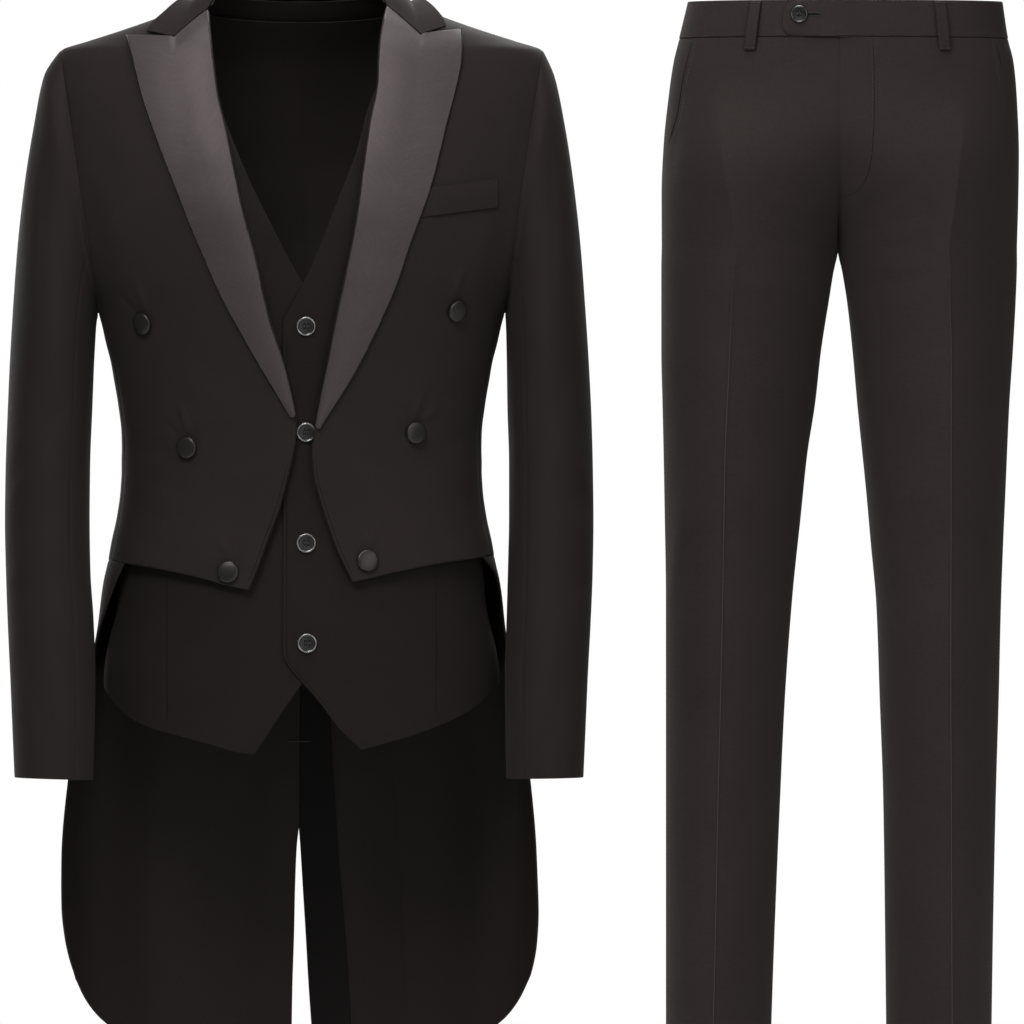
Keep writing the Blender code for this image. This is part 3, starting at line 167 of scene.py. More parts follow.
# soft folds: along each line from (p0, q0) to (p1, q1) a height times (1 - r^2/2) e^(-r^2), r in widths from the
# line, fading to both its ends; a minus height is a trough between two faint ridges
def softFolds(p, q, folds):
    height = np.zeros(np.broadcast(p, q).shape)
    for p0, q0, p1, q1, width, tall in folds:
        runP, runQ = p1 - p0, q1 - q0
        t = np.clip(((p - p0) * runP + (q - q0) * runQ) / (runP ** 2 + runQ ** 2), 0, 1)
        off = np.hypot(p - p0 - t * runP, q - q0 - t * runQ) / width
        height += tall * (1 - off ** 2 / 2) * np.exp(-off ** 2) * np.sin(np.pi * (0.12 + 0.76 * t)) ** 0.8
    return height


# Finishes

# a node with its values set, and its inputs linked where a socket is given
def addNode(tree, kind, settings=None, **inputs):
    node = tree.nodes.new("ShaderNode" + kind)
    for key, value in (settings or {}).items():
        setattr(node, key, value)
    for key, value in inputs.items():
        slot = int(key[1:]) if key[0] == "i" and key[1:].isdigit() else key
        if isinstance(value, bpy.types.NodeSocket):
            tree.links.new(value, node.inputs[slot])
        else:
            node.inputs[slot].default_value = value
    return node


# one step of arithmetic on sockets or numbers
def maths(tree, operation, first, second=0.0):
    return addNode(tree, "Math", {"operation": operation}, i0=first, i1=second).outputs[0]


# first + second
def plus(tree, first, second):
    return maths(tree, "ADD", first, second)


# first times second
def times(tree, first, second):
    return maths(tree, "MULTIPLY", first, second)


# noise from 0 to 1 round a middle of one half
def noise(tree, vector, scale, detail, rough=0.5):
    return addNode(tree, "TexNoise", Vector=vector, Scale=scale, Detail=detail, Roughness=rough).outputs["Fac"]


weaveInputs = {"Ribs": 1100.0, "Slant": 1.0, "Mottle": 0.1, "Fibre": 0.6, "Streak": 0.05}
# each noise as scale, detail and roughness
weaveSet = {
    "fibre": (900.0, 3.0, 0.65), "speck": (260.0, 2.0), "clouds": (11.0, 4.0, 0.55), "thread": (1.0, 2.0),
    "threadStretch": (55.0, 620.0, 1.0), "speckShare": 0.8, "ribHeight": 0.3, "ribTone": 0.05}


# weave: height = sine of diagonal ribs plus loose fibre, tone = 1 + slow mottling + streaks + a little of the ribs
def makeWeave():
    group = bpy.data.node_groups.new("clothWeave", "ShaderNodeTree")
    group.interface.new_socket("Vector", in_out="INPUT", socket_type="NodeSocketVector")
    for name, value in weaveInputs.items():
        group.interface.new_socket(name, in_out="INPUT", socket_type="NodeSocketFloat").default_value = value
    for name in ("Height", "Tone"):
        group.interface.new_socket(name, in_out="OUTPUT", socket_type="NodeSocketFloat")
    given, end = group.nodes.new("NodeGroupInput").outputs, group.nodes.new("NodeGroupOutput")
    parts = addNode(group, "SeparateXYZ", Vector=given["Vector"]).outputs
    slanted = plus(group, times(group, parts[0], given["Slant"]), parts[1])
    ribs = maths(group, "SINE", times(group, times(group, slanted, given["Ribs"]), 6.2832))
    loose = times(group, plus(group, noise(group, given["Vector"], *weaveSet["fibre"]), -0.5), given["Fibre"])
    speck = times(group, noise(group, given["Vector"], *weaveSet["speck"]), weaveSet["speckShare"])
    clouds = plus(group, noise(group, given["Vector"], *weaveSet["clouds"]), speck)
    drift = times(group, plus(group, clouds, -0.9), times(group, given["Mottle"], 2.0))
    thread = addNode(group, "VectorMath", {"operation": "MULTIPLY"}, i0=given["Vector"], i1=weaveSet["threadStretch"])
    lines = times(group, plus(group, noise(group, thread.outputs[0], *weaveSet["thread"]), -0.5), given["Streak"])
    plain = plus(group, plus(group, drift, 1.0), times(group, ribs, weaveSet["ribTone"]))
    group.links.new(plus(group, times(group, ribs, weaveSet["ribHeight"]), loose), end.inputs["Height"])
    group.links.new(plus(group, plain, lines), end.inputs["Tone"])
    return group


weave = makeWeave()


# cloth: tone and height are the weave's, on the piece's own UV; it is a little smoother where the tone is high
def clothPattern(tree, look):
    pattern = tree.nodes.new("ShaderNodeGroup")
    pattern.node_tree = weave
    tree.links.new(addNode(tree, "UVMap", {"uv_map": "cloth"}).outputs["UV"], pattern.inputs["Vector"])
    for key in weaveInputs:
        pattern.inputs[key].default_value = look[key]
    tone = pattern.outputs["Tone"]
    return tone, pattern.outputs["Height"], plus(tree, look["rough"] + 0.12, times(tree, tone, -0.12))


# thread and horn: a fine grain is the height, and 1 plus or minus its drift is the tone and scales the roughness
def grainPattern(tree, look):
    grain = noise(tree, addNode(tree, "TexCoord").outputs["Object"], look["grain"], 4.0)
    tone = plus(tree, times(tree, grain, 2 * look["drift"]), 1 - look["drift"])
    return tone, grain, times(tree, tone, look["rough"])


socketNames = {
    "shine": "Specular IOR Level", "shineColour": "Specular Tint", "sheen": "Sheen Weight",
    "sheenRough": "Sheen Roughness", "sheenColour": "Sheen Tint", "stretch": "Anisotropic", "coat": "Coat Weight",
    "coatRough": "Coat Roughness"}


# a finish: the tone scales the colour, the height feeds the bump, and what is the same all over is set on its socket
def makeFinish(name, look, pattern):
    material = bpy.data.materials.new(name)
    material.use_nodes = True
    tree = material.node_tree
    tone, height, rough = pattern(tree, look)
    tint = addNode(tree, "VectorMath", {"operation": "SCALE"}, i0=look["colour"], Scale=tone)
    bump = addNode(tree, "Bump", Strength=look["bump"], Distance=0.0002, Height=height)
    inputs = tree.nodes["Principled BSDF"].inputs
    for output, socket in ((tint.outputs[0], "Base Color"), (rough, "Roughness"), (bump.outputs["Normal"], "Normal")):
        tree.links.new(output, inputs[socket])
    for key, socket in socketNames.items():
        if key in look:
            inputs[socket].default_value = (*look[key], 1.0) if "Tint" in socket else look[key]
    return material


clothBase = {"sheenRough": 0.5, "sheenColour": (1.0, 0.9, 0.88), "shineColour": (1.0, 0.92, 0.9), "stretch": 0.0}
clothKeys = "colour rough shine sheen Ribs Slant Mottle Fibre Streak bump".split()
clothLooks = {
    "coatWool": ((0.0120, 0.0097, 0.0092), 0.80, 0.05, 0.012, 1150.0, 1.0, 0.16, 0.7, 0.10, 0.25),
    "waistcoatWool": ((0.0080, 0.0065, 0.0060), 0.80, 0.05, 0.01, 1000.0, 1.0, 0.16, 0.6, 0.10, 0.25),
    "trouserWool": ((0.0178, 0.0141, 0.0137), 0.82, 0.05, 0.015, 900.0, 1.0, 0.18, 0.9, 0.22, 0.3),
    "lapelSatin": ((0.0250, 0.0202, 0.0206), 0.52, 0.27, 0.0, 2400.0, 0.25, 0.20, 0.5, 0.6, 0.16),
    "lining": ((0.0070, 0.0054, 0.0050), 0.60, 0.07, 0.0, 2200.0, 0.1, 0.16, 0.3, 0.2, 0.10),
    # painted shade: the vent facing is the coat's wool, darkened as if it lay in the tails' shadow
    "facingWool": ((0.0034, 0.0031, 0.0030), 0.75, 0.05, 0.0, 1150.0, 1.0, 0.16, 0.7, 0.1, 0.25),
    "buttonCloth": ((0.0072, 0.0060, 0.0060), 0.32, 0.26, 0.0, 2400.0, 1.0, 0.08, 0.5, 0.3, 0.2)}
clothExtras = {
    "waistcoatWool": {"sheenColour": (1.0, 0.9, 0.86)},
    "lapelSatin": {"stretch": 0.35, "shineColour": (1.0, 0.86, 0.88)}}
solidKeys = "colour rough shine coat grain drift bump".split()
solidLooks = {
    # the waistcoat buttons' rim is lighter partly in its own colour and partly as painted highlight that brightens the
    # ring
    "hornRim": ((0.060, 0.058, 0.058), 0.10, 0.9, 1.0, 500.0, 0.15, 0.03),
    "darkRim": ((0.010, 0.0085, 0.0085), 0.22, 0.5, 0.25, 500.0, 0.15, 0.03),
    "polishedHorn": ((0.0045, 0.0042, 0.0042), 0.34, 0.28, 0.0, 500.0, 0.15, 0.05),
    "blackThread": ((0.010, 0.009, 0.009), 0.6, 0.4, 0.0, 2500.0, 0.3, 0.4),
    # painted highlight: a lighter wool for the pale line of light along each trouser crease
    "pressedEdge": ((0.030, 0.025, 0.0245), 0.7, 0.1, 0.0, 900.0, 0.3, 0.2),
    "seamShadow": ((0.004, 0.0036, 0.0036), 0.9, 0.05, 0.0, 900.0, 0.2, 0.3)}
finishes = {}
for name, row in clothLooks.items():
    look = {**clothBase, **dict(zip(clothKeys, row)), **clothExtras.get(name, {})}
    finishes[name] = makeFinish(name, look, clothPattern)
for name, row in solidLooks.items():
    finishes[name] = makeFinish(name, {"coatRough": 0.08, **dict(zip(solidKeys, row))}, grainPattern)
print("finishes made:", len(finishes))


# Pieces


# the CAD node that a piece stands for: beltLoop1 is belt_loop_1
def nodeOf(name):
    return "".join(letter if letter.islower() else "_" + letter.lower() for letter in name)


# a piece with smooth faces; points and UV in millimetres, faces as lists and the finish number of each
def putPiece(name, points, faces, uv, looks, numbers, node=None, outward=False):
    mesh = bpy.data.meshes.new(name)
    mesh.from_pydata((points * mm).tolist(), [], faces)
    if outward:
        body = bmesh.new()
        body.from_mesh(mesh)
        bmesh.ops.recalc_face_normals(body, faces=body.faces)
        body.to_mesh(mesh)
        body.free()
    for look in looks:
        mesh.materials.append(finishes[look])
    mesh.polygons.foreach_set("material_index", np.asarray(numbers, np.int32))
    mesh.shade_smooth()
    layer = mesh.uv_layers.new(name="cloth")
    corners = np.empty(len(mesh.loops), dtype=np.int32)
    mesh.loops.foreach_get("vertex_index", corners)
    layer.data.foreach_set("uv", (uv[corners] * mm).astype(np.float32).ravel())
    thing = placed(name, mesh)
    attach(thing, "root")
    if node:
        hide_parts(node)
    return thing


# four-sided faces between each closed ring of point numbers and the next one
def ringFaces(at):
    turned = np.roll(at, -1, axis=1)
    return np.stack([at[:-1], turned[:-1], turned[1:], at[1:]], axis=-1).reshape(-1, 4)


# a grid with three more rows or columns close inside each border, so that what happens at an edge stays at the edge
def withBorders(grid):
    insets, most = np.array([1.2, 2.6, 4.4]), np.array([0.3, 0.6, 0.85])
    for _ in range(2):
        first, last = grid[1] - grid[0], grid[-2] - grid[-1]
        shares = [
            np.minimum(insets[:, None] / np.maximum(np.linalg.norm(run, axis=-1), 1e-6), most[:, None])[..., None]
            for run in (first, last)]
        head = grid[:1] + shares[0] * first
        tail = grid[-1:] + shares[1][::-1] * last
        grid = np.concatenate([grid[:1], head, grid[1:-1], tail, grid[-1:]]).transpose(1, 0, 2)
    return grid


valleySet = {"depth": 0.45, "width": 2.4}


# valley of a pressed seam: depth times e^-(distance from the border over its width)^2 at each sewn border
def seamValley(grid, sewn):
    across, down = walked(grid, 1), walked(grid, 0)
    distance = {"left": across, "right": across[:, -1:] - across, "top": down, "bottom": down[-1:] - down}
    valleys = (np.exp(-(distance[border] / valleySet["width"]) ** 2) for border in sewn)
    return valleySet["depth"] * sum(valleys) + 0 * across


# the direction from the middle of the body to a grid's points, to tell its outside
def awayFromMiddle(grid):
    return np.concatenate([grid[..., :2], np.maximum(0, grid[..., 2:] + 150.0)], axis=-1)


# a cloth shell: the outer grid, the same grid moved in by the wall, and a rounded rim between them;
# each rim point is the middle of the wall plus half the wall times a cosine, and a bulge times a sine
def clothShell(
        name, grid, wall, finish, away=None, lining=None, rim=0.38, sewn=(),
        node=None):
    facing = facingOf(grid, awayFromMiddle(grid) if away is None else away)
    grid = withBorders(grid)
    normal = facing * gridNormals(grid)
    inner = grid - wall * normal
    grid = grid - seamValley(grid, sewn)[..., None] * normal
    outer = grid.copy()
    rows, columns = grid.shape[:2]
    count = rows * columns
    at = np.arange(count).reshape(rows, columns)
    border = np.concatenate([at[0, :-1], at[:-1, -1], at[-1, :0:-1], at[:0:-1, 0]])
    i, j = np.divmod(border, columns)
    inside = grid[np.clip(i, 1, rows - 2), np.clip(j, 1, columns - 2)] - grid[i, j]
    inside = unit(inside - np.sum(inside * normal[i, j], axis=-1, keepdims=True) * normal[i, j])
    bulge = rim * wall * inside
    outer[i, j] += bulge
    inner[i, j] += (0.3 if sewn else 1.0) * bulge
    middle = (outer[i, j] + inner[i, j]) / 2
    turns = np.radians([45.0, 90.0, 135.0])
    loops = [middle + np.cos(turn) * wall / 2 * normal[i, j] - np.sin(turn) * bulge for turn in turns]
    cells = np.stack([at[:-1, :-1], at[1:, :-1], at[1:, 1:], at[:-1, 1:]], axis=-1).reshape(-1, 4)
    chain = [border, *(2 * count + k * len(i) + np.arange(len(i)) for k in range(3)), border + count]
    faces = np.concatenate([cells, ringFaces(np.stack(chain)), cells[:, ::-1] + count])
    crossRows = np.cross(grid[1:, :-1] - grid[:-1, :-1], grid[:-1, 1:] - grid[:-1, :-1])
    if np.sum(crossRows * normal[:-1, :-1]) < 0:
        faces = faces[:, ::-1]
    points = np.concatenate([outer.reshape(-1, 3), inner.reshape(-1, 3), *loops])
    flatUv = np.stack([walked(grid, 1), walked(grid, 0)], axis=-1)
    uv = np.concatenate([flatUv.reshape(-1, 2)] * 2 + [flatUv[i, j]] * 3)
    isLining = (np.arange(len(faces)) >= len(faces) - len(cells)) & bool(lining)
    looks = [finish, lining] if lining else [finish]
    thing = putPiece(name, points, faces.tolist(), uv, looks, isLining, node or nodeOf(name))


# The body that the coat and the waistcoat are filled out on: half width, front depth and back depth at each height

shoulderRows = (
    (8, 80, 48, 60), (0, 96, 53, 66), (-12, 122, 60, 74), (-25, 158, 68, 84), (-35, 189, 74, 91), (-43.5, 214, 79, 96),
    (-60, 225, 86, 102), (-100, 233, 101, 110), (-150, 235, 114, 114), (-200, 225, 120, 113), (-240, 205, 120, 109),
    (-278, 180, 117, 104), (-302, 174, 114, 101), (-329, 168, 110, 98), (-360, 162.6, 106, 96), (-383, 160, 104, 94),
    (-407, 159.5, 103, 93), (-432, 160.7, 103, 94), (-457, 164, 104, 97))
coatBody = columnsOf(
    "z half front back", *shoulderRows, (-480, 169, 106, 101), (-497, 172, 108, 105), (-515, 176, 109, 108),
    (-560, 182, 112, 114), (-620, 195, 114, 119), (-690, 210, 116, 122), (-760, 217, 117, 124), (-850, 219, 118, 126),
    (-955, 219, 118, 127))
vestBody = columnsOf(
    "z half front back", *shoulderRows, (-480, 167, 106, 100), (-541, 173, 111, 104), (-568, 177, 113, 105),
    (-602, 181, 113, 106), (-670, 181, 112, 106))


# half width, front depth and back depth at a height
def girthAt(z, body):
    return [smooth(z, body["z"], body[column]) for column in ("half", "front", "back")]


# x = half sin(angle), y = -depth cos(angle), moved out along the surface's normal; 0 is the front and 180 the back
def onBody(side, angle, z, out, body):
    def bare(angle, z):
        half, front, back = girthAt(z, body)
        turn = np.radians(angle)
        return pointsOf(half * np.sin(turn), -np.where(np.cos(turn) > 0, front, back) * np.cos(turn), z)

    angle, z = np.broadcast_arrays(np.asarray(angle, float), np.asarray(z, float))
    normal = unit(
        np.cross(bare(angle + 0.05, z) - bare(angle - 0.05, z), bare(angle, z + 0.05) - bare(angle, z - 0.05)))
    return (bare(angle, z) + np.asarray(out, float)[..., None] * normal) * (side, 1, 1)


# the angle at which the front reaches a distance from the middle: arcsine of x over the half width
def angleAt(x, z, body):
    return np.degrees(np.arcsin(np.clip(x / girthAt(z, body)[0], -1, 1)))


# the distance from the middle at an angle
def acrossAt(angle, z, body):
    return girthAt(z, body)[0] * np.sin(np.radians(angle))


# an angle moved a short distance round the body
def movedRound(angle, z, distance, body):
    half, front, back = girthAt(z, body)
    turn = np.radians(angle)
    depth = np.where(np.cos(turn) > 0, front, back)
    return angle + np.degrees(distance / np.hypot(half * np.cos(turn), depth * np.sin(turn)))


# places on the body as (angle, height)
def spot(angle, z):
    return pointsOf(angle, z).astype(float)


# an edge with each of its places moved a distance round the body
def beside(edge, distance, body):
    return spot(movedRound(edge[..., 0], edge[..., 1], distance, body), edge[..., 1])


# points over places on the body
def lifted(side, spots, out, body):
    return onBody(side, spots[..., 0], spots[..., 1], out, body)


# the direction out of the body at a place
def outFrom(side, angle, z, body):
    return onBody(side, angle, z, 1.0, body) - onBody(side, angle, z, 0.0, body)


# neighbouring panels reach over their seam by this much: in millimetres, and in degrees at the shoulder
seamLap = 0.25
shoulderLap = 0.25
roundStep = 2.1


# soft folds whose first measure is the angle at 2.1 mm a degree
def roundFolds(spots, folds):
    return softFolds(spots[..., 0] * roundStep, spots[..., 1], folds)


# a straight run between two points, read at shares
def between(start, end, share):
    return start + share[:, None] * (end - start)


# the top of a panel at one angle, from the height of its left side to that of its right side
def topEdge(angle, left, right, across):
    return spot(angle, left[0, 1] + across * (right[0, 1] - left[0, 1]))


# a panel's grid, once its corners meet
def panelGrid(left, right, top, bottom):
    left[0], right[0], bottom[-1] = top[0], top[-1], right[-1]
    return filledGrid(left, right, top, bottom)


coatHole = {"topX": 214.0, "topZ": -43.5, "lowX": 180.5, "lowZ": -277.0}
vestHole = {"topX": 160.0, "topZ": -25.6, "lowX": 174.0, "lowZ": -302.0}


# armhole as a flat cut: height and width run as (1 - cos turn) / 2, down the front to 180 and up the back to 360
def armholeEdge(turn, hole, body):
    turn = np.asarray(turn, float)
    share = (1 - np.cos(np.radians(turn))) / 2
    z = hole["topZ"] + share * (hole["lowZ"] - hole["topZ"])
    x = hole["topX"] + share * (hole["lowX"] - hole["topX"])
    angle = angleAt(x, z, body)
    return spot(np.where(turn > 180, 180 - angle, angle), z)


# Coat fronts

coatFrontSet = {
    "columns": 92, "armholeRows": 92, "bodyRows": 84, "rowsFiner": 1.35, "soft": 11.0,
    "edge": {
        1: columnsOf(
            "z x", (-6, 75), (-30, 70), (-54, 68), (-73, 68), (-101, 62), (-135, 57), (-188, 50), (-217, 45),
            (-250, 38), (-288, 30), (-320, 24), (-349, 18), (-383, 12), (-401, 10), (-419, 11), (-439, 16),
            (-461, 23), (-491, 34), (-515, 46)),
        -1: columnsOf(
            "z x", (-9, 82), (-29, 80), (-54, 77), (-90, 72), (-108, 67), (-137, 61), (-166, 55), (-191, 50),
            (-217, 42), (-253, 34), (-283, 27), (-320, 15), (-349, 8), (-378, 3), (-401, 6), (-425, 12),
            (-452, 19), (-475, 28), (-501, 37), (-522, 46))},
    "hem": {
        1: columnsOf("x z", (46, -515), (59, -512), (89, -505), (126, -498), (159, -493), (170, -490)),
        -1: columnsOf("x z", (46, -522), (68, -517), (86, -512), (122, -504), (158, -498), (171, -495))},
    # (x0, z0, x1, z1, width, height) in millimetres: pulls above the buttons, hollows by the armhole and the waist
    "folds": {
        1: ((137, -275, 137, -276, 12, -1.5), (101, -383, 101, -384, 12, -1.5), (59, -496, 59, -497, 12, -1.4),
            (137, -260, 143, -240, 4.0, 1.3), (131, -263, 121, -248, 3.4, -1.0), (101, -369, 106, -350, 4.0, 1.4),
            (95, -372, 83, -358, 3.4, -1.1), (108, -372, 122, -360, 3.2, 1.0), (60, -482, 68, -466, 4.0, 1.2),
            (54, -483, 48, -472, 3.2, -0.8), (190, -160, 168, -262, 13, -1.6), (202, -90, 192, -170, 10, -1.0),
            (152, -385, 118, -402, 11, -0.9), (150, -420, 108, -442, 12, 0.8), (40, -400, 84, -418, 9, -0.6),
            (120, -320, 66, -384, 16, 0.9), (148, -470, 96, -486, 10, -0.6), (165, -110, 150, -150, 18, 0.7)),
        -1: ((139, -286, 139, -287, 12, -1.5), (100, -396, 100, -397, 12, -1.5), (64, -506, 64, -507, 12, -1.4),
             (139, -271, 145, -250, 4.0, 1.4), (132, -274, 123, -259, 3.4, -1.1), (147, -275, 160, -262, 3.4, -1.0),
             (100, -381, 106, -361, 4.0, 1.5), (93, -384, 80, -370, 3.6, 1.2), (108, -385, 120, -375, 3.2, -1.0),
             (65, -492, 72, -476, 4.0, 1.3), (58, -493, 50, -482, 3.2, -0.9), (192, -165, 170, -258, 14, -1.8),
             (204, -95, 196, -160, 10, -1.0), (154, -392, 112, -405, 12, -1.0), (150, -430, 104, -447, 11, 0.8),
             (30, -398, 80, -424, 10, -0.7), (112, -318, 60, -372, 15, 0.9), (150, -476, 104, -494, 9, -0.6),
             (168, -104, 150, -148, 16, 0.8))}}
coatWall = 2.0
neckPoint = {"angle": 90.0, "z": 8.0, "bend": (-4.0, 2.0)}
sideSeam = {"turn": 150.0, "angle": 80.0, "settles": -380.0}
backSeam = {"turn": 240.0, "waistAngle": 160.0, "hemAngle": 154.0}
waistZ = {1: -493.0, -1: -496.5}
tailHem = columnsOf(
    "angle z", (113, -869), (118, -887), (125, -905), (137, -925), (150, -939), (167, -948), (180, -951))


# seam in front of the side body: from the armhole, easing to its angle at the waist
def sideFrontSeam(side, rows):
    start = armholeEdge(sideSeam["turn"], coatHole, coatBody)
    z = start[1] + steps(rows) * (waistZ[side] - start[1])
    return spot(start[0] + ease((start[1] - z) / (start[1] - sideSeam["settles"])) * (sideSeam["angle"] - start[0]), z)


# seam behind the side body: the angle runs as a sine of the share of the way down
def sideBackSeam(side, rows):
    start = armholeEdge(backSeam["turn"], coatHole, coatBody)
    share = steps(rows)
    z = start[1] + share * (waistZ[side] - start[1])
    return spot(start[0] + np.sin(share * np.pi / 2) ** 0.9 * (backSeam["waistAngle"] - start[0]), z)


# seam between a back and its skirt
def tailSeam(side, rows):
    share = steps(rows)
    endZ = smooth(backSeam["hemAngle"], tailHem["angle"], tailHem["z"])
    angle = backSeam["waistAngle"] + share * (backSeam["hemAngle"] - backSeam["waistAngle"])
    return spot(angle, waistZ[side] + share * (endZ - waistZ[side]))


# neckline of the front: the neck point, the middle of the run moved in to round it, and the gorge
def frontNeckline(side):
    edge = coatFrontSet["edge"][side]
    gorge = spot(angleAt(edge["x"][0], edge["z"][0], coatBody), edge["z"][0])
    start = spot(neckPoint["angle"], neckPoint["z"])
    return np.stack([start, (start + gorge) / 2 + neckPoint["bend"], gorge])


# distance of the roll line and front edge from the middle
def rollX(side, z):
    edge = coatFrontSet["edge"][side]
    return softened(z, edge["z"], edge["x"], coatFrontSet["soft"])


# a lined panel of the coat
def coatPanel(name, side, spots, folds, sewn):
    grid = lifted(side, spots, folds, coatBody)
    clothShell(name + sideNames[side], grid, coatWall, "coatWool", lining="lining", sewn=sewn)


# front: filled between the roll line and front edge, the armhole and side seam, the shoulder and the hem
def coatFrontGrid(side):
    look = coatFrontSet
    edge, hem, neck = look["edge"][side], look["hem"][side], frontNeckline(side)
    upper = armholeEdge(np.linspace(0, sideSeam["turn"], look["armholeRows"] + 1), coatHole, coatBody)
    right = np.concatenate([upper, sideFrontSeam(side, look["bodyRows"])[1:]])
    z = neckPoint["z"] + steps(len(right) - 1) ** look["rowsFiner"] * (edge["z"][-1] - neckPoint["z"])
    byEdge = angleAt(rollX(side, z), z, coatBody)
    left = spot(np.where(z > edge["z"][0], smooth(z, neck[:, 1], neck[:, 0]), byEdge), z)
    across = steps(look["columns"])
    top = topEdge(neckPoint["angle"] + shoulderLap, left, right, across)
    hemX = hem["x"][0] + across * (acrossAt(*right[-1], coatBody) - hem["x"][0])
    hemZ = smooth(hemX, hem["x"], hem["z"])
    right[-1, 1], left[-1, 1] = hemZ[-1], hemZ[0]
    bottom = spot(angleAt(hemX, hemZ, coatBody), hemZ)
    return panelGrid(left, beside(right, seamLap, coatBody), top, bottom)


for side in (1, -1):
    spots = coatFrontGrid(side)
    x = acrossAt(spots[..., 0], spots[..., 1], coatBody)
    coatPanel("coatFront", side, spots, softFolds(x, spots[..., 1], coatFrontSet["folds"][side]), ("right", "top"))
print("coat fronts made")


# Side bodies under the arms

coatSideSet = {
    "columns": 26, "rows": 52,
    # (round the body at 2.1 mm a degree, z0, the same end, width, height)
    "folds": ((190, -320, 250, -345, 12, -1.2), (200, -380, 270, -398, 11, -1.5), (190, -408, 280, -420, 10, 1.0),
              (200, -440, 300, -452, 12, -1.0))}

for side in (1, -1):
    left = beside(sideFrontSeam(side, coatSideSet["rows"]), -seamLap, coatBody)
    right = beside(sideBackSeam(side, coatSideSet["rows"]), seamLap, coatBody)
    top = armholeEdge(np.linspace(sideSeam["turn"], backSeam["turn"], coatSideSet["columns"] + 1), coatHole, coatBody)
    top[0], top[-1] = left[0], right[0]
    spots = filledGrid(left, right, top, between(left[-1], right[-1], steps(coatSideSet["columns"])))
    coatPanel("coatSide", side, spots, roundFolds(spots, coatSideSet["folds"]), ("left", "right", "top", "bottom"))


# Backs, from the shoulders to the hem of the tails, open below the vent's top

coatBackSet = {
    "columns": 40, "armholeRows": 56, "bodyRows": 50, "tailRows": 66, "neckRows": 20, "neckZ": 2.0,
    "centre": columnsOf("z x", (2, 0), (-300, 0), (-735, -3.5), (-955, -1.0)),
    "vent": columnsOf(
        "z left right", (2, -0.25, -0.25), (-725, -0.25, -0.25), (-753, 1.4, 2.4), (-786, 3.2, 4.0), (-831, 5.5, 5.5),
        (-876, 7.4, 7.6), (-955, 12, 10)),
    "folds": {
        1: ((250, -120, 300, -210, 22, -1.6), (268, -60, 350, -88, 16, 1.2), (330, -395, 375, -404, 12, -1.6),
            (325, -428, 375, -436, 11, 1.3), (330, -462, 378, -466, 12, -1.2), (362, -560, 366, -900, 12, -1.4),
            (345, -640, 338, -940, 16, 1.6)),
        -1: ((246, -130, 305, -205, 20, -1.8), (262, -66, 345, -84, 18, 1.0), (328, -390, 375, -400, 13, -1.4),
             (322, -420, 375, -430, 10, 1.5), (335, -455, 378, -462, 12, -1.3), (364, -600, 360, -920, 13, -1.6),
             (340, -590, 344, -930, 15, 1.4))}}


# centre back edge: the seam's own lean plus the vent's opening, as an angle
def centreBack(side, z):
    opening = smooth(z, coatBackSet["vent"]["z"], coatBackSet["vent"]["left" if side > 0 else "right"])
    x = side * smooth(z, coatBackSet["centre"]["z"], coatBackSet["centre"]["x"]) + opening
    return 180 - np.degrees(np.arcsin(x / girthAt(z, coatBody)[0]))


# the hem of the tails between two angles
def hemEdge(start, end, across):
    angle = start + across * (end - start)
    return spot(angle, smooth(angle, tailHem["angle"], tailHem["z"]))


for side in (1, -1):
    look = coatBackSet
    upper = armholeEdge(np.linspace(360, backSeam["turn"], look["armholeRows"] + 1), coatHole, coatBody)
    right = np.concatenate([upper, sideBackSeam(side, look["bodyRows"])[1:], tailSeam(side, look["tailRows"])[1:]])
    neckShare = steps(look["neckRows"])
    neck = spot(
        neckPoint["angle"] + neckShare * 90, neckPoint["z"] + ease(neckShare) * (look["neckZ"] - neckPoint["z"]))
    z = look["neckZ"] + steps(len(right) - 1 - look["neckRows"]) * (tailHem["z"][-1] - look["neckZ"])
    left = np.concatenate([neck[:-1], spot(centreBack(side, z), z)])
    across = steps(look["columns"])
    top = topEdge(neckPoint["angle"] - shoulderLap, left, right, across)
    bottom = hemEdge(left[-1, 0], right[-1, 0], across)
    spots = panelGrid(left, beside(right, -seamLap, coatBody), top, bottom)
    coatPanel("coatBack", side, spots, roundFolds(spots, look["folds"][side]), ("left", "right", "top"))
print("coat backs made")


# Skirts that make the outer halves of the tails

skirtSet = {
    "columns": 40, "rows": 66, "waistLap": 0.9, "foldsFrom": -505.0, "foldsGrow": 60.0,
    "edge": {
        1: columnsOf(
            "z angle", (-494, 70), (-504, 80), (-523, 88), (-540, 92), (-600, 97), (-650, 101), (-690, 104.5),
            (-758, 105.5), (-804, 105.2), (-836, 107), (-854, 109.5), (-871, 113)),
        -1: columnsOf(
            "z angle", (-498, 66), (-519, 71), (-537, 76), (-559, 84), (-600, 94), (-650, 96), (-690, 98), (-758, 99.5),
            (-804, 101.5), (-831, 105), (-849, 108.5), (-868, 113))},
    "folds": {
        1: ((236, -560, 250, -860, 16, 2.0), (270, -520, 280, -900, 14, -2.2), (304, -540, 306, -910, 15, 1.8),
            (220, -540, 232, -640, 10, -1.2)),
        -1: ((232, -590, 246, -850, 15, 1.8), (262, -530, 272, -890, 16, -2.0), (300, -560, 298, -915, 14, 2.0),
             (212, -560, 226, -660, 11, -1.3))}}

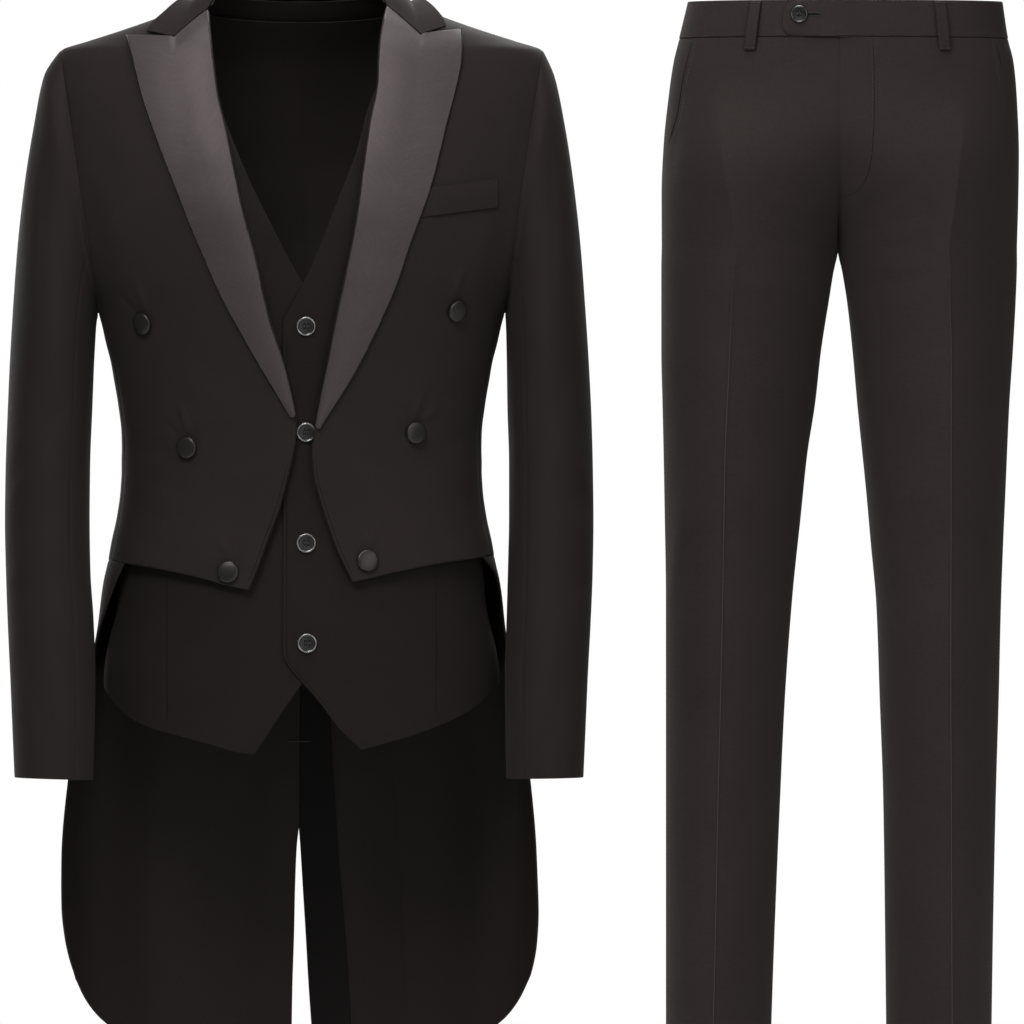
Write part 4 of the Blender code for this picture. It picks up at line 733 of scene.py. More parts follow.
for side in (1, -1):
    look = skirtSet
    edge, hem = look["edge"][side], coatFrontSet["hem"][side]
    right = beside(tailSeam(side, look["rows"]), seamLap, coatBody)
    right[0, 1] += look["waistLap"]
    share = (right[:, 1] - right[0, 1]) / (right[-1, 1] - right[0, 1])
    z = edge["z"][0] + look["waistLap"] + share * (edge["z"][-1] - edge["z"][0])
    left = spot(smooth(z, edge["z"], edge["angle"]), z)
    across = steps(look["columns"])
    topAngle = left[0, 0] + across * (right[0, 0] - left[0, 0])
    underFront = smooth(acrossAt(topAngle, left[0, 1], coatBody), hem["x"], hem["z"])
    level = np.where(topAngle < sideSeam["angle"], np.minimum(underFront, waistZ[side]), waistZ[side])
    top = spot(topAngle, level + look["waistLap"])
    left[0], right[0] = top[0], top[-1]
    bottom = hemEdge(left[-1, 0], right[-1, 0], across)
    left[-1], right[-1] = bottom[0], bottom[-1]
    spots = filledGrid(left, right, top, bottom)
    fade = ease((look["foldsFrom"] - spots[..., 1]) / look["foldsGrow"])
    coatPanel("coatSkirt", side, spots, roundFolds(spots, look["folds"][side]) * fade, ("right", "top"))


# Facing turned in along the left vent

facingSet = {
    "fold": columnsOf(
        "z x", (-590, 22), (-627, 24), (-667, 26), (-712, 29), (-758, 32), (-795, 35), (-831, 38), (-876, 41),
        (-948, 46)),
    "topZ": -590.0, "lowZ": -946.0, "rows": 70, "columns": 12, "fromEdge": 1.0, "under": 2.6, "wall": 1.2}
z = np.linspace(facingSet["topZ"], facingSet["lowZ"], facingSet["rows"] + 1)
edge = beside(spot(centreBack(1, z), z), -facingSet["fromEdge"], coatBody)
inner = spot(180 - angleAt(smooth(z, facingSet["fold"]["z"], facingSet["fold"]["x"]), z, coatBody), z)
across = steps(facingSet["columns"])
spots = filledGrid(edge, inner, between(edge[0], inner[0], across), between(edge[-1], inner[-1], across))
folds = roundFolds(spots, coatBackSet["folds"][1]) - facingSet["under"]
# the facing's wool is painted darker, as shade inside the tails
clothShell(
    "ventFacing", lifted(1, spots, folds, coatBody), facingSet["wall"], "facingWool")
print("skirts and vent facing made")


# Lapels

lapelSet = {
    "wall": 2.2, "rows": 96, "columns": 32, "rowsFiner": 1.25, "lift": 1.3, "crown": 3.0, "atGorge": 0.3, "atPeak": 2.0,
    "gorgeOut": (3.5, 4.8, 4.9), "gorgeGap": 0.8, "gorgeReach": 0.045, "soft": 14.0, "endsAbove": 2.0,
    "notch": {1: (105, -33), -1: (112, -35)},
    "edge": {
        1: columnsOf(
            "z x", (-29, 141), (-38, 143), (-69, 139), (-101, 131), (-130, 124), (-163, 116), (-191, 106), (-220, 95),
            (-248, 86), (-289, 68), (-326, 50), (-352, 34), (-374, 20), (-380, 16.5)),
        -1: columnsOf(
            "z x", (-34, 154), (-49, 149), (-80, 142), (-110, 132), (-137, 122), (-170, 109), (-203, 96), (-235, 82),
            (-271, 66), (-281, 60), (-319, 39), (-352, 19), (-370, 8.5))},
    # slow ripples away from the roll line and one long hollow down the middle
    "folds": {
        1: ((92, -112, 122, -124, 7, -0.35), (80, -168, 106, -182, 7, 0.35), (68, -222, 92, -236, 6, -0.3),
            (104, -60, 98, -170, 15, -0.6), (50, -280, 66, -292, 5, 0.25)),
        -1: ((86, -194, 108, -206, 6, 0.35), (78, -214, 102, -228, 6, -0.35), (70, -236, 92, -248, 6, 0.3),
             (112, -60, 100, -160, 15, -0.6), (98, -128, 122, -142, 8, -0.3))}}


# seam between lapel and collar, as (x, z) points from the roll line to the notch, or a line below it
def gorgePoints(side, below=0.0):
    edge = coatFrontSet["edge"][side]
    start = np.array([edge["x"][0], edge["z"][0]])
    notch = np.array(lapelSet["notch"][side], float)
    run = unit(notch - start)
    return np.stack([start, (start + notch) / 2, notch]) + below * np.array([run[1], -run[0]])


# lapel: filled between the roll line and its outer edge; it stands out by a sine across it that fades downwards
def lapelGrid(side):
    look = lapelSet
    down, across = steps(look["rows"]) ** look["rowsFiner"], steps(look["columns"])
    roll, outer = coatFrontSet["edge"][side], look["edge"][side]
    rollZ = roll["z"][0] + down * (outer["z"][-1] + look["endsAbove"] - roll["z"][0])
    outerZ = outer["z"][0] + down * (outer["z"][-1] - outer["z"][0])
    left = spot(rollX(side, rollZ), rollZ)
    right = spot(softened(outerZ, outer["z"], outer["x"], look["soft"]), outerZ)
    gorge = gorgePoints(side, look["gorgeGap"])
    top = cornered([gorge[0], gorge[2], right[0]], [0, 0.5, 1], across)
    left[0] = top[0]
    flat = filledGrid(left, right, top, between(left[-1], right[-1], across))
    x, z = flat[..., 0], flat[..., 1]
    soft = look["atGorge"] + (1 - look["atGorge"]) * ease(down * 4)
    puff = np.sin(np.pi * across ** 0.8) * (soft * np.sqrt(1 - 0.7 * down))[:, None]
    out = look["lift"] + look["wall"] + look["crown"] * puff + look["atPeak"] * (1 - ease(down * 5))[:, None]
    share = ease(down / look["gorgeReach"])[:, None]
    atGorge = np.interp(across, [0, 0.25, 0.5], look["gorgeOut"])
    out = np.where(across <= 0.5, atGorge * (1 - share) + out * share, out)
    return onBody(side, angleAt(x, z, coatBody), z, out + softFolds(x, z, look["folds"][side]), coatBody)


for side in (1, -1):
    clothShell(
        "lapel" + sideNames[side], lapelGrid(side), lapelSet["wall"], "lapelSatin",
        rim=0.45)
print("lapels made")


# Collar

collarSet = {
    "rows": 24, "columns": 60, "bulge": 6.0, "wider": {1: 0.0, -1: 4.0},
    "tip": {1: (127, -26), -1: (136, -30)}, "tipOut": 4.5,
    "fold": ((72, -28, 8), (72, 0, 20), (62, 30, 26), (38, 52, 28), (0, 60, 28.5)),
    "edge": columnsOf(
        "share angle z out", (0.14, 72, -12, 7.2), (0.3, 92, -3, 8.6), (0.48, 115, -8.5, 6.6), (0.68, 140, -14, 5.4),
        (0.84, 160, -18, 4.8), (1, 180, -19, 4.8)),
    "standStarts": 0.03, "standWall": 1.6, "standRows": 12, "standIn": 1.3, "standInMore": 0.5,
    "standBelow": 0.7, "baseIn": 0.5, "baseUp": 0.7, "backNeck": ((120.0, 6.5), (150.0, 3.5), (180.0, 2.0))}


# top fold of the collar, from the gorge round to the centre back
def foldLine(side, share):
    gorge = gorgePoints(side)[0]
    start = onBody(1, angleAt(*gorge, coatBody), gorge[1], lapelSet["gorgeOut"][0], coatBody)
    stops = np.array(collarSet["fold"], float)
    stops[:2, 0] += collarSet["wider"][side]
    return along([start, *stops], share) * (side, 1, 1)


# outer edge of the collar, from its tip over the shoulder to the centre back
def fallEdge(side, share):
    tipX, tipZ = collarSet["tip"][side]
    tip = {"share": 0.0, "angle": angleAt(tipX, tipZ, coatBody), "z": tipZ, "out": collarSet["tipOut"]}
    stops = {key: np.append(tip[key], values) for key, values in collarSet["edge"].items()}
    return onBody(side, *(smooth(share, stops["share"], stops[key]) for key in ("angle", "z", "out")), coatBody)


# fall: filled between the fold and the edge, rounded outwards by a bulge times the sine of the way down
def collarHalf(side):
    share, down = steps(collarSet["columns"]), steps(collarSet["rows"])
    top, bottom = foldLine(side, share), fallEdge(side, share)
    x, z = gorgePoints(side).T
    seam = onBody(side, angleAt(x, z, coatBody), z, np.array(lapelSet["gorgeOut"]), coatBody)
    front = cornered([*seam, bottom[0]], [0, 1 / 3, 2 / 3, 1], down)
    grid = filledGrid(front, between(top[-1], bottom[-1], down), top, bottom)
    bulge = collarSet["bulge"] * np.sin(np.pi * down)[:, None, None] * ease(share * 4)[:, None]
    return grid + bulge * unit(grid * levelPart)


# stand: straight from the neckline up to a line a little inside and below the fold
def standHalf(side):
    look = collarSet
    share = look["standStarts"] + (1 - look["standStarts"]) * steps(look["columns"])
    neckline = np.concatenate([frontNeckline(side)[::-1], look["backNeck"]])
    base = along(lifted(1, neckline, 0.0, coatBody), share) * (side, 1, 1)
    fold = foldLine(side, share)
    outward = unit(fold * levelPart)
    within = look["standIn"] + look["standInMore"] * ease(share * 5)
    top = fold - within[:, None] * outward - (0, 0, look["standBelow"]) * ease(share * 8)[:, None]
    base = base - look["baseIn"] * outward + (0, 0, look["baseUp"])
    return base + steps(look["standRows"])[:, None, None] * (top - base)


for name, half, wall in (("collarFall", collarHalf, coatWall), ("collarStand", standHalf, collarSet["standWall"])):
    grid = np.concatenate([half(-1), half(1)[:, -2::-1]], axis=1)
    clothShell(name, grid, wall, "coatWool", grid * levelPart)
print("collar made")


# Sleeves

sleeveSet = {
    "rings": 98, "frontSeam": -125.0, "backSeam": 110.0, "lap": 0.3, "tuck": 1.5, "holeGap": 0.3, "ringStep": 46,
    "names": "outerX outerZ innerX innerZ middleY depth",
    1: ((214, -43.5, 180.5, -277, 0, 60), (224, -65, 180.8, -280, -1, 64), (234, -112, 181, -283, -2, 67),
        (241.5, -162, 181.2, -287, -3, 69), (247.5, -216, 181.4, -292, -4, 70), (251.5, -268, 181.6, -299, -5, 70),
        (255, -322, 182, -320, -7, 68), (257.3, -370, 182.6, -362, -10, 66), (258.5, -415, 184, -410, -15, 63),
        (259, -460, 184, -458, -20, 60), (258.3, -505, 183, -505, -26, 58), (256.5, -550, 181.8, -550, -32, 56),
        (254, -597, 180.3, -597, -37, 54), (252, -643, 180.8, -643, -41, 52), (250, -688, 181.6, -689, -44, 51)),
    -1: ((214, -43.5, 180.5, -277, 0, 60), (228, -64, 181, -280, -1, 64), (238, -112, 181.6, -283, -2, 67),
         (246, -162, 182.1, -287, -3, 69), (252, -216, 182.5, -292, -4, 70), (256, -270, 182.9, -299, -5, 70),
         (259, -322, 184, -320, -7, 68), (261, -370, 185.6, -362, -10, 66), (262.5, -415, 187.4, -410, -15, 63),
         (263, -460, 187.8, -458, -20, 60), (262, -505, 187, -505, -26, 58), (260.3, -550, 184, -550, -32, 56),
         (258, -597, 182.4, -597, -37, 54), (256, -643, 183, -643, -41, 52), (254, -688, 184.2, -690, -44, 51)),
    # broad folds of the solid (ring, turn, reach in rings, width in degrees, height)
    "broad": ((7.0, -60, 1.0, 70, -4), (8.6, -50, 0.8, 60, -5), (8.0, 60, 1.2, 70, 3), (10.3, -70, 0.8, 60, -4),
              (12.2, -40, 0.9, 60, -3), (2.6, -70, 1.2, 50, -3)),
    # creases: (turn in degrees, ring times 46, the same end, width, height)
    "creases": {
        1: ((-100, 330, -40, 372, 12, 1.3), (-95, 372, -30, 400, 10, -1.5), (-110, 410, -45, 420, 11, 1.2),
            (-85, 455, -20, 480, 12, -1.1), (-60, 90, -75, 200, 12, -1.0), (-20, 60, -30, 160, 12, 0.8),
            (40, 350, 95, 390, 13, 1.3), (45, 392, 100, 420, 12, -1.3), (-70, 540, -20, 560, 14, -0.8),
            (30, 560, 80, 600, 14, 0.8)),
        -1: ((-104, 320, -48, 366, 12, -1.4), (-92, 360, -35, 395, 11, 1.3), (-108, 402, -50, 426, 11, -1.3),
             (-88, 448, -26, 470, 12, 1.0), (-55, 80, -70, 190, 12, -1.1), (-16, 70, -28, 170, 12, 0.8),
             (38, 340, 92, 382, 13, -1.3), (42, 388, 98, 424, 12, 1.4), (-66, 530, -24, 556, 14, -0.9),
             (34, 550, 84, 596, 14, 0.8))}}


# an angle brought between -180 and 180 degrees
def wrapped(turn):
    return (turn + 180) % 360 - 180


# sleeve: between an outer and an inner point by the cosine of the turn, and deep by its sine; at the armhole it
# follows the coat's own edge
def sleeveGrid(side, turn):
    look = sleeveSet
    ring = np.linspace(0, len(look[side]) - 1, look["rings"] + 1)[:, None]
    table = columnsOf(look["names"], *look[side])
    read = {key: smooth(ring, np.arange(len(look[side])), values) for key, values in table.items()}
    swing, reach = np.sin(np.radians(turn)), np.cos(np.radians(turn))
    middleX, middleZ = (read["outerX"] + read["innerX"]) / 2, (read["outerZ"] + read["innerZ"]) / 2
    x = middleX + (read["outerX"] - read["innerX"]) / 2 * reach
    z = middleZ + (read["outerZ"] - read["innerZ"]) / 2 * reach
    fold = sum(
        tall * np.exp(-((ring - at) / long) ** 2 - (wrapped(turn - where) / wide) ** 2)
        for at, where, long, wide, tall in look["broad"])
    y = read["middleY"] + (read["depth"] + fold) * swing
    holeX = coatHole["topX"] + (1 - reach) / 2 * (coatHole["lowX"] - coatHole["topX"])
    holeZ = coatHole["topZ"] + (1 - reach) / 2 * (coatHole["lowZ"] - coatHole["topZ"])
    half, front, back = girthAt(holeZ, coatBody)
    holeY = np.where(swing > 0, back, -front) * np.sqrt(np.maximum(0, 1 - (holeX / half) ** 2))
    tucked = holeX + look["holeGap"] - look["tuck"] * (1 - ease(ring * 7))
    share = ease(ring)[..., None]
    grid = (pointsOf(x, y, z) * share + pointsOf(tucked, holeY, holeZ) * (1 - share)) * (side, 1, 1)
    away = grid - pointsOf(middleX * side, read["middleY"], middleZ)
    creases = softFolds(wrapped(turn), ring * look["ringStep"], look["creases"][side]) * ease(ring / 1.2)
    return grid + creases[..., None] * facingOf(grid, away) * gridNormals(grid), away


for side in (1, -1):
    front, back, lap = sleeveSet["frontSeam"], sleeveSet["backSeam"], sleeveSet["lap"]
    for part, start, end, columns in (("Top", front, back, 60), ("Under", back, front + 360, 26)):
        grid, away = sleeveGrid(side, np.linspace(start - lap, end + lap, columns + 1))
        clothShell(
            "sleeve" + part + sideNames[side], grid, coatWall, "coatWool", away=away, lining="lining",
            sewn=("left", "right", "top"))
print("sleeves made")


# Breast pocket welt

weltSet = {
    "innerX": 106.0, "outerX": 173.0, "topIn": -167.2, "topOut": -158.0, "deep": 26.0, "wall": 1.8, "lift": 0.75,
    "columns": 36, "rows": 16, "puff": 0.5, "tucked": 1.1, "tuckEnd": 112.0, "tuckReach": 9.0}
across, down = steps(weltSet["columns"]), steps(weltSet["rows"])[:, None]
x = weltSet["innerX"] + across * (weltSet["outerX"] - weltSet["innerX"])
z = weltSet["topIn"] + across * (weltSet["topOut"] - weltSet["topIn"]) - down * weltSet["deep"]
full = weltSet["lift"] + weltSet["wall"] + weltSet["puff"] * np.sin(np.pi * down)
raised = weltSet["tucked"] + (full - weltSet["tucked"]) * ease((x - weltSet["tuckEnd"]) / weltSet["tuckReach"])
clothShell(
    "breastWelt", onBody(1, angleAt(x, z, coatBody), z, raised, coatBody), weltSet["wall"], "coatWool",
    node="breast_pocket_welt")


# Waistcoat

vestSet = {
    "wall": 1.6, "drop": 8.0, "columns": 54, "armholeRows": 42, "bodyRows": 70, "backColumns": 36, "backHem": -588.0,
    "hemWider": 1.045, "sideLap": 0.4, "backTop": 89.8, "neckZ": -12.0, "neckRows": 14, "lapUnder": 2.4,
    "lapX": 30.0, "lapFades": 30.0, "lapTop": -200.0, "lapGrows": 40.0, "shoulderDrop": 2.9, "shoulderReach": 22.0,
    "shoulderZ": -60.0, "shoulderGrows": 30.0,
    # (height, angle, reach in degrees, top, growing over) of the swell over the hips
    "swell": (5.0, 83.0, 10.0, -535.0, 45.0),
    "edge": {
        1: columnsOf(
            "z x", (0, 96), (-20, 93), (-48, 84), (-83, 64), (-134, 50), (-173, 35), (-213, 20), (-253, 2), (-275, -10),
            (-286, -16), (-400, -16), (-578, -16), (-592, -9), (-603, 1), (-622, 18), (-644, 35), (-663, 55)),
        -1: columnsOf(
            "z x", (0, 96), (-25, 93), (-60, 86), (-110, 66), (-150, 50), (-188, 32), (-226, 13), (-252, -2),
            (-275, -16), (-292, -26), (-400, -26), (-578, -24), (-592, -10), (-605, -1), (-624, 13), (-655, 34),
            (-667, 42))},
    "hem": {
        1: columnsOf("x z", (55, -663), (72, -658), (108, -647), (137, -635), (158, -622), (173, -604)),
        -1: columnsOf("x z", (42, -667), (57, -665), (77, -659), (111, -650), (140, -641), (160, -628), (173, -606))},
    "folds": {
        1: ((14, -300, 60, -330, 10, 0.5), (20, -470, 110, -520, 14, -0.8), (30, -545, 120, -580, 12, 0.7),
            (60, -600, 140, -612, 14, -0.6), (8, -395, 40, -430, 9, 0.4)),
        -1: ((-6, -310, 50, -345, 10, -0.5), (0, -480, 100, -524, 13, 0.8), (24, -556, 118, -574, 12, -0.7),
             (50, -610, 136, -600, 15, 0.6))},
    "backFolds": ((330, -395, 375, -400, 12, -1.2), (325, -440, 375, -446, 12, 1.2), (250, -150, 300, -240, 20, -1.0))}


# how far inside the coat's face the waistcoat lies: it comes up to the coat at the shoulder seam, and over the hips
# it swells by a height times e^-(angle from its middle over its reach)^2
def vestDrop(spots):
    look = vestSet
    angle, z = spots[..., 0], spots[..., 1]
    near = ease(1 - np.abs(angle - 90) / look["shoulderReach"])
    high = ease((z - look["shoulderZ"]) / look["shoulderGrows"])
    tall, middle, reach, top, grows = look["swell"]
    full = tall * np.exp(-((angle - middle) / reach) ** 2) * ease((top - z) / grows)
    return look["drop"] - (look["drop"] - look["shoulderDrop"]) * near * high - full


# seam under the arm: straight down from the armhole to the hem
def vestSideSeam(side):
    lowZ = vestSet["hem"][side]["z"][-1]
    return spot(90.0, vestHole["lowZ"] + steps(vestSet["bodyRows"]) * (lowZ - vestHole["lowZ"]))


# front: filled between the neck and lap edge, the armhole and side seam, the shoulder and the pointed hem
def vestFrontGrid(side):
    look = vestSet
    edge, hem = look["edge"][side], look["hem"][side]
    upper = armholeEdge(np.linspace(0, 180, look["armholeRows"] + 1), vestHole, vestBody)
    right = np.concatenate([upper, vestSideSeam(side)[1:]])
    z = edge["z"][0] + (right[:, 1] - right[0, 1]) / (right[-1, 1] - right[0, 1]) * (edge["z"][-1] - edge["z"][0])
    left = spot(angleAt(smooth(z, edge["z"], edge["x"]), z, vestBody), z)
    across = steps(look["columns"])
    top = topEdge(90 + shoulderLap, left, right, across)
    hemX = hem["x"][0] + across * (hem["x"][-1] - hem["x"][0])
    hemZ = smooth(hemX, hem["x"], hem["z"])
    bottom = spot(angleAt(hemX * look["hemWider"], hemZ, vestBody), hemZ)
    bottom[0] = left[-1]
    return panelGrid(left, beside(right, look["sideLap"], vestBody), top, bottom)


# back: filled between the neck and centre seam, the armhole and side seam, the shoulder and a straight hem
def vestBackGrid(side):
    look = vestSet
    upper = armholeEdge(np.linspace(360, 180.01, look["armholeRows"] + 1), vestHole, vestBody)
    right = beside(np.concatenate([upper, vestSideSeam(side)[1:]]), -look["sideLap"], vestBody)
    neckShare = steps(look["neckRows"])
    start = look["edge"][side]["z"][0]
    neck = spot(
        look["backTop"] + neckShare * (180 - look["backTop"]), start + ease(neckShare) * (look["neckZ"] - start))
    below = right[look["neckRows"]:, 1]
    z = look["neckZ"] + (below - below[0]) / (below[-1] - below[0]) * (look["backHem"] - look["neckZ"])
    left = np.concatenate([neck[:-1], spot(movedRound(180.0, z, look["sideLap"], vestBody), z)])
    across = steps(look["backColumns"])
    top = topEdge(look["backTop"], left, right, across)
    right[0] = top[-1]
    return filledGrid(left, right, top, between(left[-1], right[-1], across))


look = vestSet
for side in (1, -1):
    spots = vestFrontGrid(side)
    x, z = acrossAt(spots[..., 0], spots[..., 1], vestBody), spots[..., 1]
    drop = vestDrop(spots)
    if side < 0:
        # the right front goes under the left one
        under = (1 - ease((x - look["lapX"]) / look["lapFades"])) * ease((look["lapTop"] - z) / look["lapGrows"])
        drop = drop + look["lapUnder"] * under
    folds = softFolds(x, z, look["folds"][side])
    clothShell(
        "waistcoatFront" + sideNames[side], lifted(side, spots, folds - drop, vestBody), look["wall"],
        "waistcoatWool", lining="lining", sewn=("right", "top"))

for side in (1, -1):
    spots = vestBackGrid(side)
    out = roundFolds(spots, look["backFolds"]) - vestDrop(spots)
    clothShell(
        "waistcoatBack" + sideNames[side], lifted(side, spots, out, vestBody), look["wall"], "lining",
        sewn=("left", "right", "top"))
print("waistcoat made")


# Trousers

trouserSet = {
    "wall": 1.6, "middle": 476.0, "crotchZ": -219.0, "forkStart": -45.0, "topZ": -33.4, "hemZ": -1038.0, "sharp": 0.34,
    "columns": 60, "rows": 170,
    "outline": {
        -1: columnsOf(
            "z outer inner crease", (0, 133, 0, 92), (-33, 141, 0, 90), (-53, 146, 0, 89), (-88, 151, 0, 88),
            (-127, 155, 0, 87), (-173, 157, 0, 87), (-219, 157, 0, 91), (-241, 157, 4, 93), (-266, 157, 8, 95),
            (-311, 157, 15, 97), (-356, 156, 20, 99), (-401, 155, 27, 101), (-458, 154, 33, 102), (-525, 153, 40, 103),
            (-620, 153, 47, 105), (-704, 153, 51, 107), (-851, 153, 57, 110), (-1040, 153, 63, 115)),
        1: columnsOf(
            "z outer inner crease", (0, 146, 0, 84), (-33, 151, 0, 86), (-53, 156, 0, 87), (-84, 159, 0, 89),
            (-137, 161, 0, 91), (-180, 160.5, 0, 95), (-219, 159.5, 0, 97), (-241, 159, 4, 98), (-266, 158, 8, 98),
            (-311, 155.5, 13, 99), (-356, 152.5, 17, 99), (-435, 149, 25, 99), (-480, 147, 29, 99), (-536, 145, 34, 99),
            (-620, 143, 37, 99), (-704, 140.5, 40, 99.5), (-851, 137.5, 42, 100), (-1040, 135, 44, 101))},
    "depth": columnsOf(
        "z front back", (0, 90, 97), (-33, 93, 101), (-80, 96, 110), (-130, 98, 117), (-180, 98, 119), (-230, 96, 116),
        (-280, 92, 109), (-340, 87, 100), (-430, 80, 89), (-520, 74, 80), (-640, 69, 73), (-800, 65, 70),
        (-1040, 63, 70)),
    "creaseHigh": 0.9, "creaseWide": 0.005, "lap": 0.1, "forkLap": 0.45, "forkLapEnds": -235.0, "forkLapFades": 20.0,
    "creaseFrom": -150.0, "creaseGrows": 120.0, "foldsFrom": -40.0, "foldsGrow": 30.0, "foldStep": 200.0,
    "nearCrease": (-0.018, -0.010, -0.005, -0.002, 0.002, 0.005, 0.010, 0.018),
    # (share across times 200, z0, the same end, width, height)
    "folds": {
        (1, False): ((10, -196, 60, -170, 8, -1.9), (20, -222, 80, -202, 8, 1.6), (30, -252, 90, -246, 9, -1.5),
                     (150, -60, 160, -150, 12, 0.8), (140, -420, 175, -520, 16, -1.0), (40, -460, 70, -540, 14, 0.8)),
        (-1, False): ((8, -200, 62, -176, 8, 1.7), (16, -228, 76, -208, 8, -1.8), (30, -258, 92, -252, 9, 1.4),
                      (150, -70, 162, -150, 12, -0.8), (138, -430, 172, -530, 16, 1.0), (36, -450, 64, -536, 14, -0.9)),
        (1, True): ((20, -240, 90, -262, 11, -1.6), (30, -275, 100, -290, 11, 1.2), (60, -480, 120, -500, 16, -1.2),
                    (50, -520, 120, -545, 16, 1.0)),
        (-1, True): ((18, -236, 88, -258, 11, 1.4), (28, -270, 104, -292, 11, -1.4), (62, -470, 122, -495, 16, 1.1),
                     (50, -515, 116, -548, 16, -1.0))}}


# share of the greatest depth: (1 - fork) cos(quarter turn) + fork ((1 - sharp) cos(swing) + sharp (1 - |sin(swing)|))
def trouserProfile(share, fork):
    swing = np.radians((2 * share - 1) * 90)
    leg = (1 - trouserSet["sharp"]) * np.cos(swing) + trouserSet["sharp"] * (1 - np.abs(np.sin(swing)))
    return (1 - fork) * np.cos(np.radians(share * 90)) + fork * leg


# hip: a quarter of an oval; leg: a creased half tube; between them they mix by the square of the way to the crotch
def trouserPoint(side, behind, share, z):
    look = trouserSet
    outline = {key: smooth(z, look["outline"][side]["z"], values) for key, values in look["outline"][side].items()}
    depth = smooth(z, look["depth"]["z"], look["depth"]["back" if behind else "front"])
    swing = np.radians((2 * share - 1) * 90)
    reach = np.where(swing > 0, outline["outer"] - outline["crease"], outline["crease"] - outline["inner"])
    fork = np.clip((look["forkStart"] - z) / (look["forkStart"] - look["crotchZ"]), 0, 1) ** 2
    fullest = np.max(trouserProfile(steps(60), np.asarray(fork)[..., None]), axis=-1)
    hipX = outline["outer"] * np.sin(np.radians(share * 90))
    lap = look["lap"] + look["forkLap"] * fork * ease((z - look["forkLapEnds"]) / look["forkLapFades"])
    x = hipX * (1 - fork) + (outline["crease"] + np.sin(swing) * reach) * fork - lap
    y = depth * trouserProfile(share, fork) / fullest - look["lap"]
    return pointsOf(look["middle"] + side * x, y * (1 if behind else -1), z)


# the share at which a trouser half reaches a distance from the middle, by halving
def trouserShare(side, x, z):
    low, high = np.zeros_like(x), np.ones_like(x)
    for _ in range(24):
        guess = (low + high) / 2
        over = np.abs(trouserPoint(side, False, guess, z)[..., 0] - trouserSet["middle"]) > x
        low, high = np.where(over, low, guess), np.where(over, guess, high)
    return (low + high) / 2


# how far the pressed crease stands out, growing from the hip down
def creaseRise(z):
    return trouserSet["creaseHigh"] * ease((trouserSet["creaseFrom"] - z) / trouserSet["creaseGrows"])


look = trouserSet
share, z = np.broadcast_arrays(
    np.sort(np.concatenate([steps(look["columns"]), 0.5 + np.array(look["nearCrease"])])),
    np.linspace(look["topZ"], look["hemZ"], look["rows"] + 1)[:, None])
for side in (1, -1):
    for behind, part in ((False, "Front"), (True, "Back")):
        grid = trouserPoint(side, behind, share, z)
        away = grid * (0, 1, 0)
        folds = softFolds(share * look["foldStep"], z, look["folds"][side, behind])
        folds = folds * ease((look["foldsFrom"] - z) / look["foldsGrow"]) * ease(share * 12) * ease((1 - share) * 12)
        folds = folds + creaseRise(z) * np.exp(-np.abs(share - 0.5) / look["creaseWide"])
        grid = grid + folds[..., None] * facingOf(grid, away) * gridNormals(grid)
        clothShell(
            "trouser" + part + sideNames[side], grid, look["wall"], "trouserWool", away=away, lining="lining",
            sewn=("left", "right"))
print("trouser legs made")


# Waistband and belt loops

bandSet = {
    "wall": 2.2, "low": -33.0, "rows": 14, "half": 133.0, "over": 0.15, "tabReach": 48.0, "tabLift": 2.8,
    "tabRise": 22.0, "tabRound": 12.0, "tabRoundReach": 14.0, "end": 179.9,
    "cut": {"Left": (0.442, 0.033), "Right": (0.377, 0.033)}}


# the place in degrees at which the waistband reaches a distance from the middle
def placeAt(x):
    return np.degrees(np.arcsin(x / bandSet["half"]))


# waistband: place runs in degrees from -180 behind through 0 in front to 180 behind
def bandPoint(place, z, out):
    outline, depths = trouserSet["outline"], trouserSet["depth"]
    right, left = (smooth(z, outline[side]["z"], outline[side]["outer"]) for side in (-1, 1))
    outer = np.where(place < 0, right, left)
    turn = np.radians(place)
    depth = np.where(np.cos(turn) > 0, smooth(z, depths["z"], depths["front"]), smooth(z, depths["z"], depths["back"]))
    point = pointsOf(
        trouserSet["middle"] + (outer + bandSet["over"]) * np.sin(turn), -depth * np.cos(turn), z)
    outward = unit(pointsOf(depth * np.sin(turn), -outer * np.cos(turn), 0.0))
    return point + np.asarray(out)[..., None] * outward


# the direction out of the waistband at a place
def bandOut(place, z):
    return bandPoint(place, z, 1.0) - bandPoint(place, z, 0.0)


# the level direction from the trousers' middle to a grid's points
def bandAway(grid):
    return (grid - (trouserSet["middle"], 0, 0)) * levelPart


# where the left part laps over the right one it rises past the middle of the front
def tabLift(place):
    return bandSet["tabLift"] * ease((bandSet["tabRise"] - np.radians(place) * bandSet["half"]) / bandSet["tabRise"])


tabEnd = placeAt(-bandSet["tabReach"])
bandPlaces = {
    "Left": np.concatenate([np.linspace(tabEnd, 0, 18)[:-1], np.linspace(0, bandSet["end"], 76)]),
    "Right": np.concatenate([np.linspace(-0.1, tabEnd, 16)[:-1], np.linspace(tabEnd, -bandSet["end"], 66)])}
for name, places in bandPlaces.items():
    place, z = np.broadcast_arrays(places, steps(bandSet["rows"])[:, None] * bandSet["low"])
    grid = bandPoint(place, z, tabLift(place) if name == "Left" else 0.0)
    if name == "Left":
        # the tab's end is rounded: its corners are drawn in by a circle's shortfall
        half = bandSet["low"] / 2
        short = bandSet["tabRound"] * (1 - np.sqrt(np.maximum(0, 1 - np.abs((z - half) / half) ** 3.2)))
        grid = grid + (ease(1 - (place - tabEnd) / bandSet["tabRoundReach"]) * short)[..., None] * (1, 0, 0)
    clothShell(
        "waistband" + name, grid, bandSet["wall"], "trouserWool", away=bandAway(grid), lining="lining")

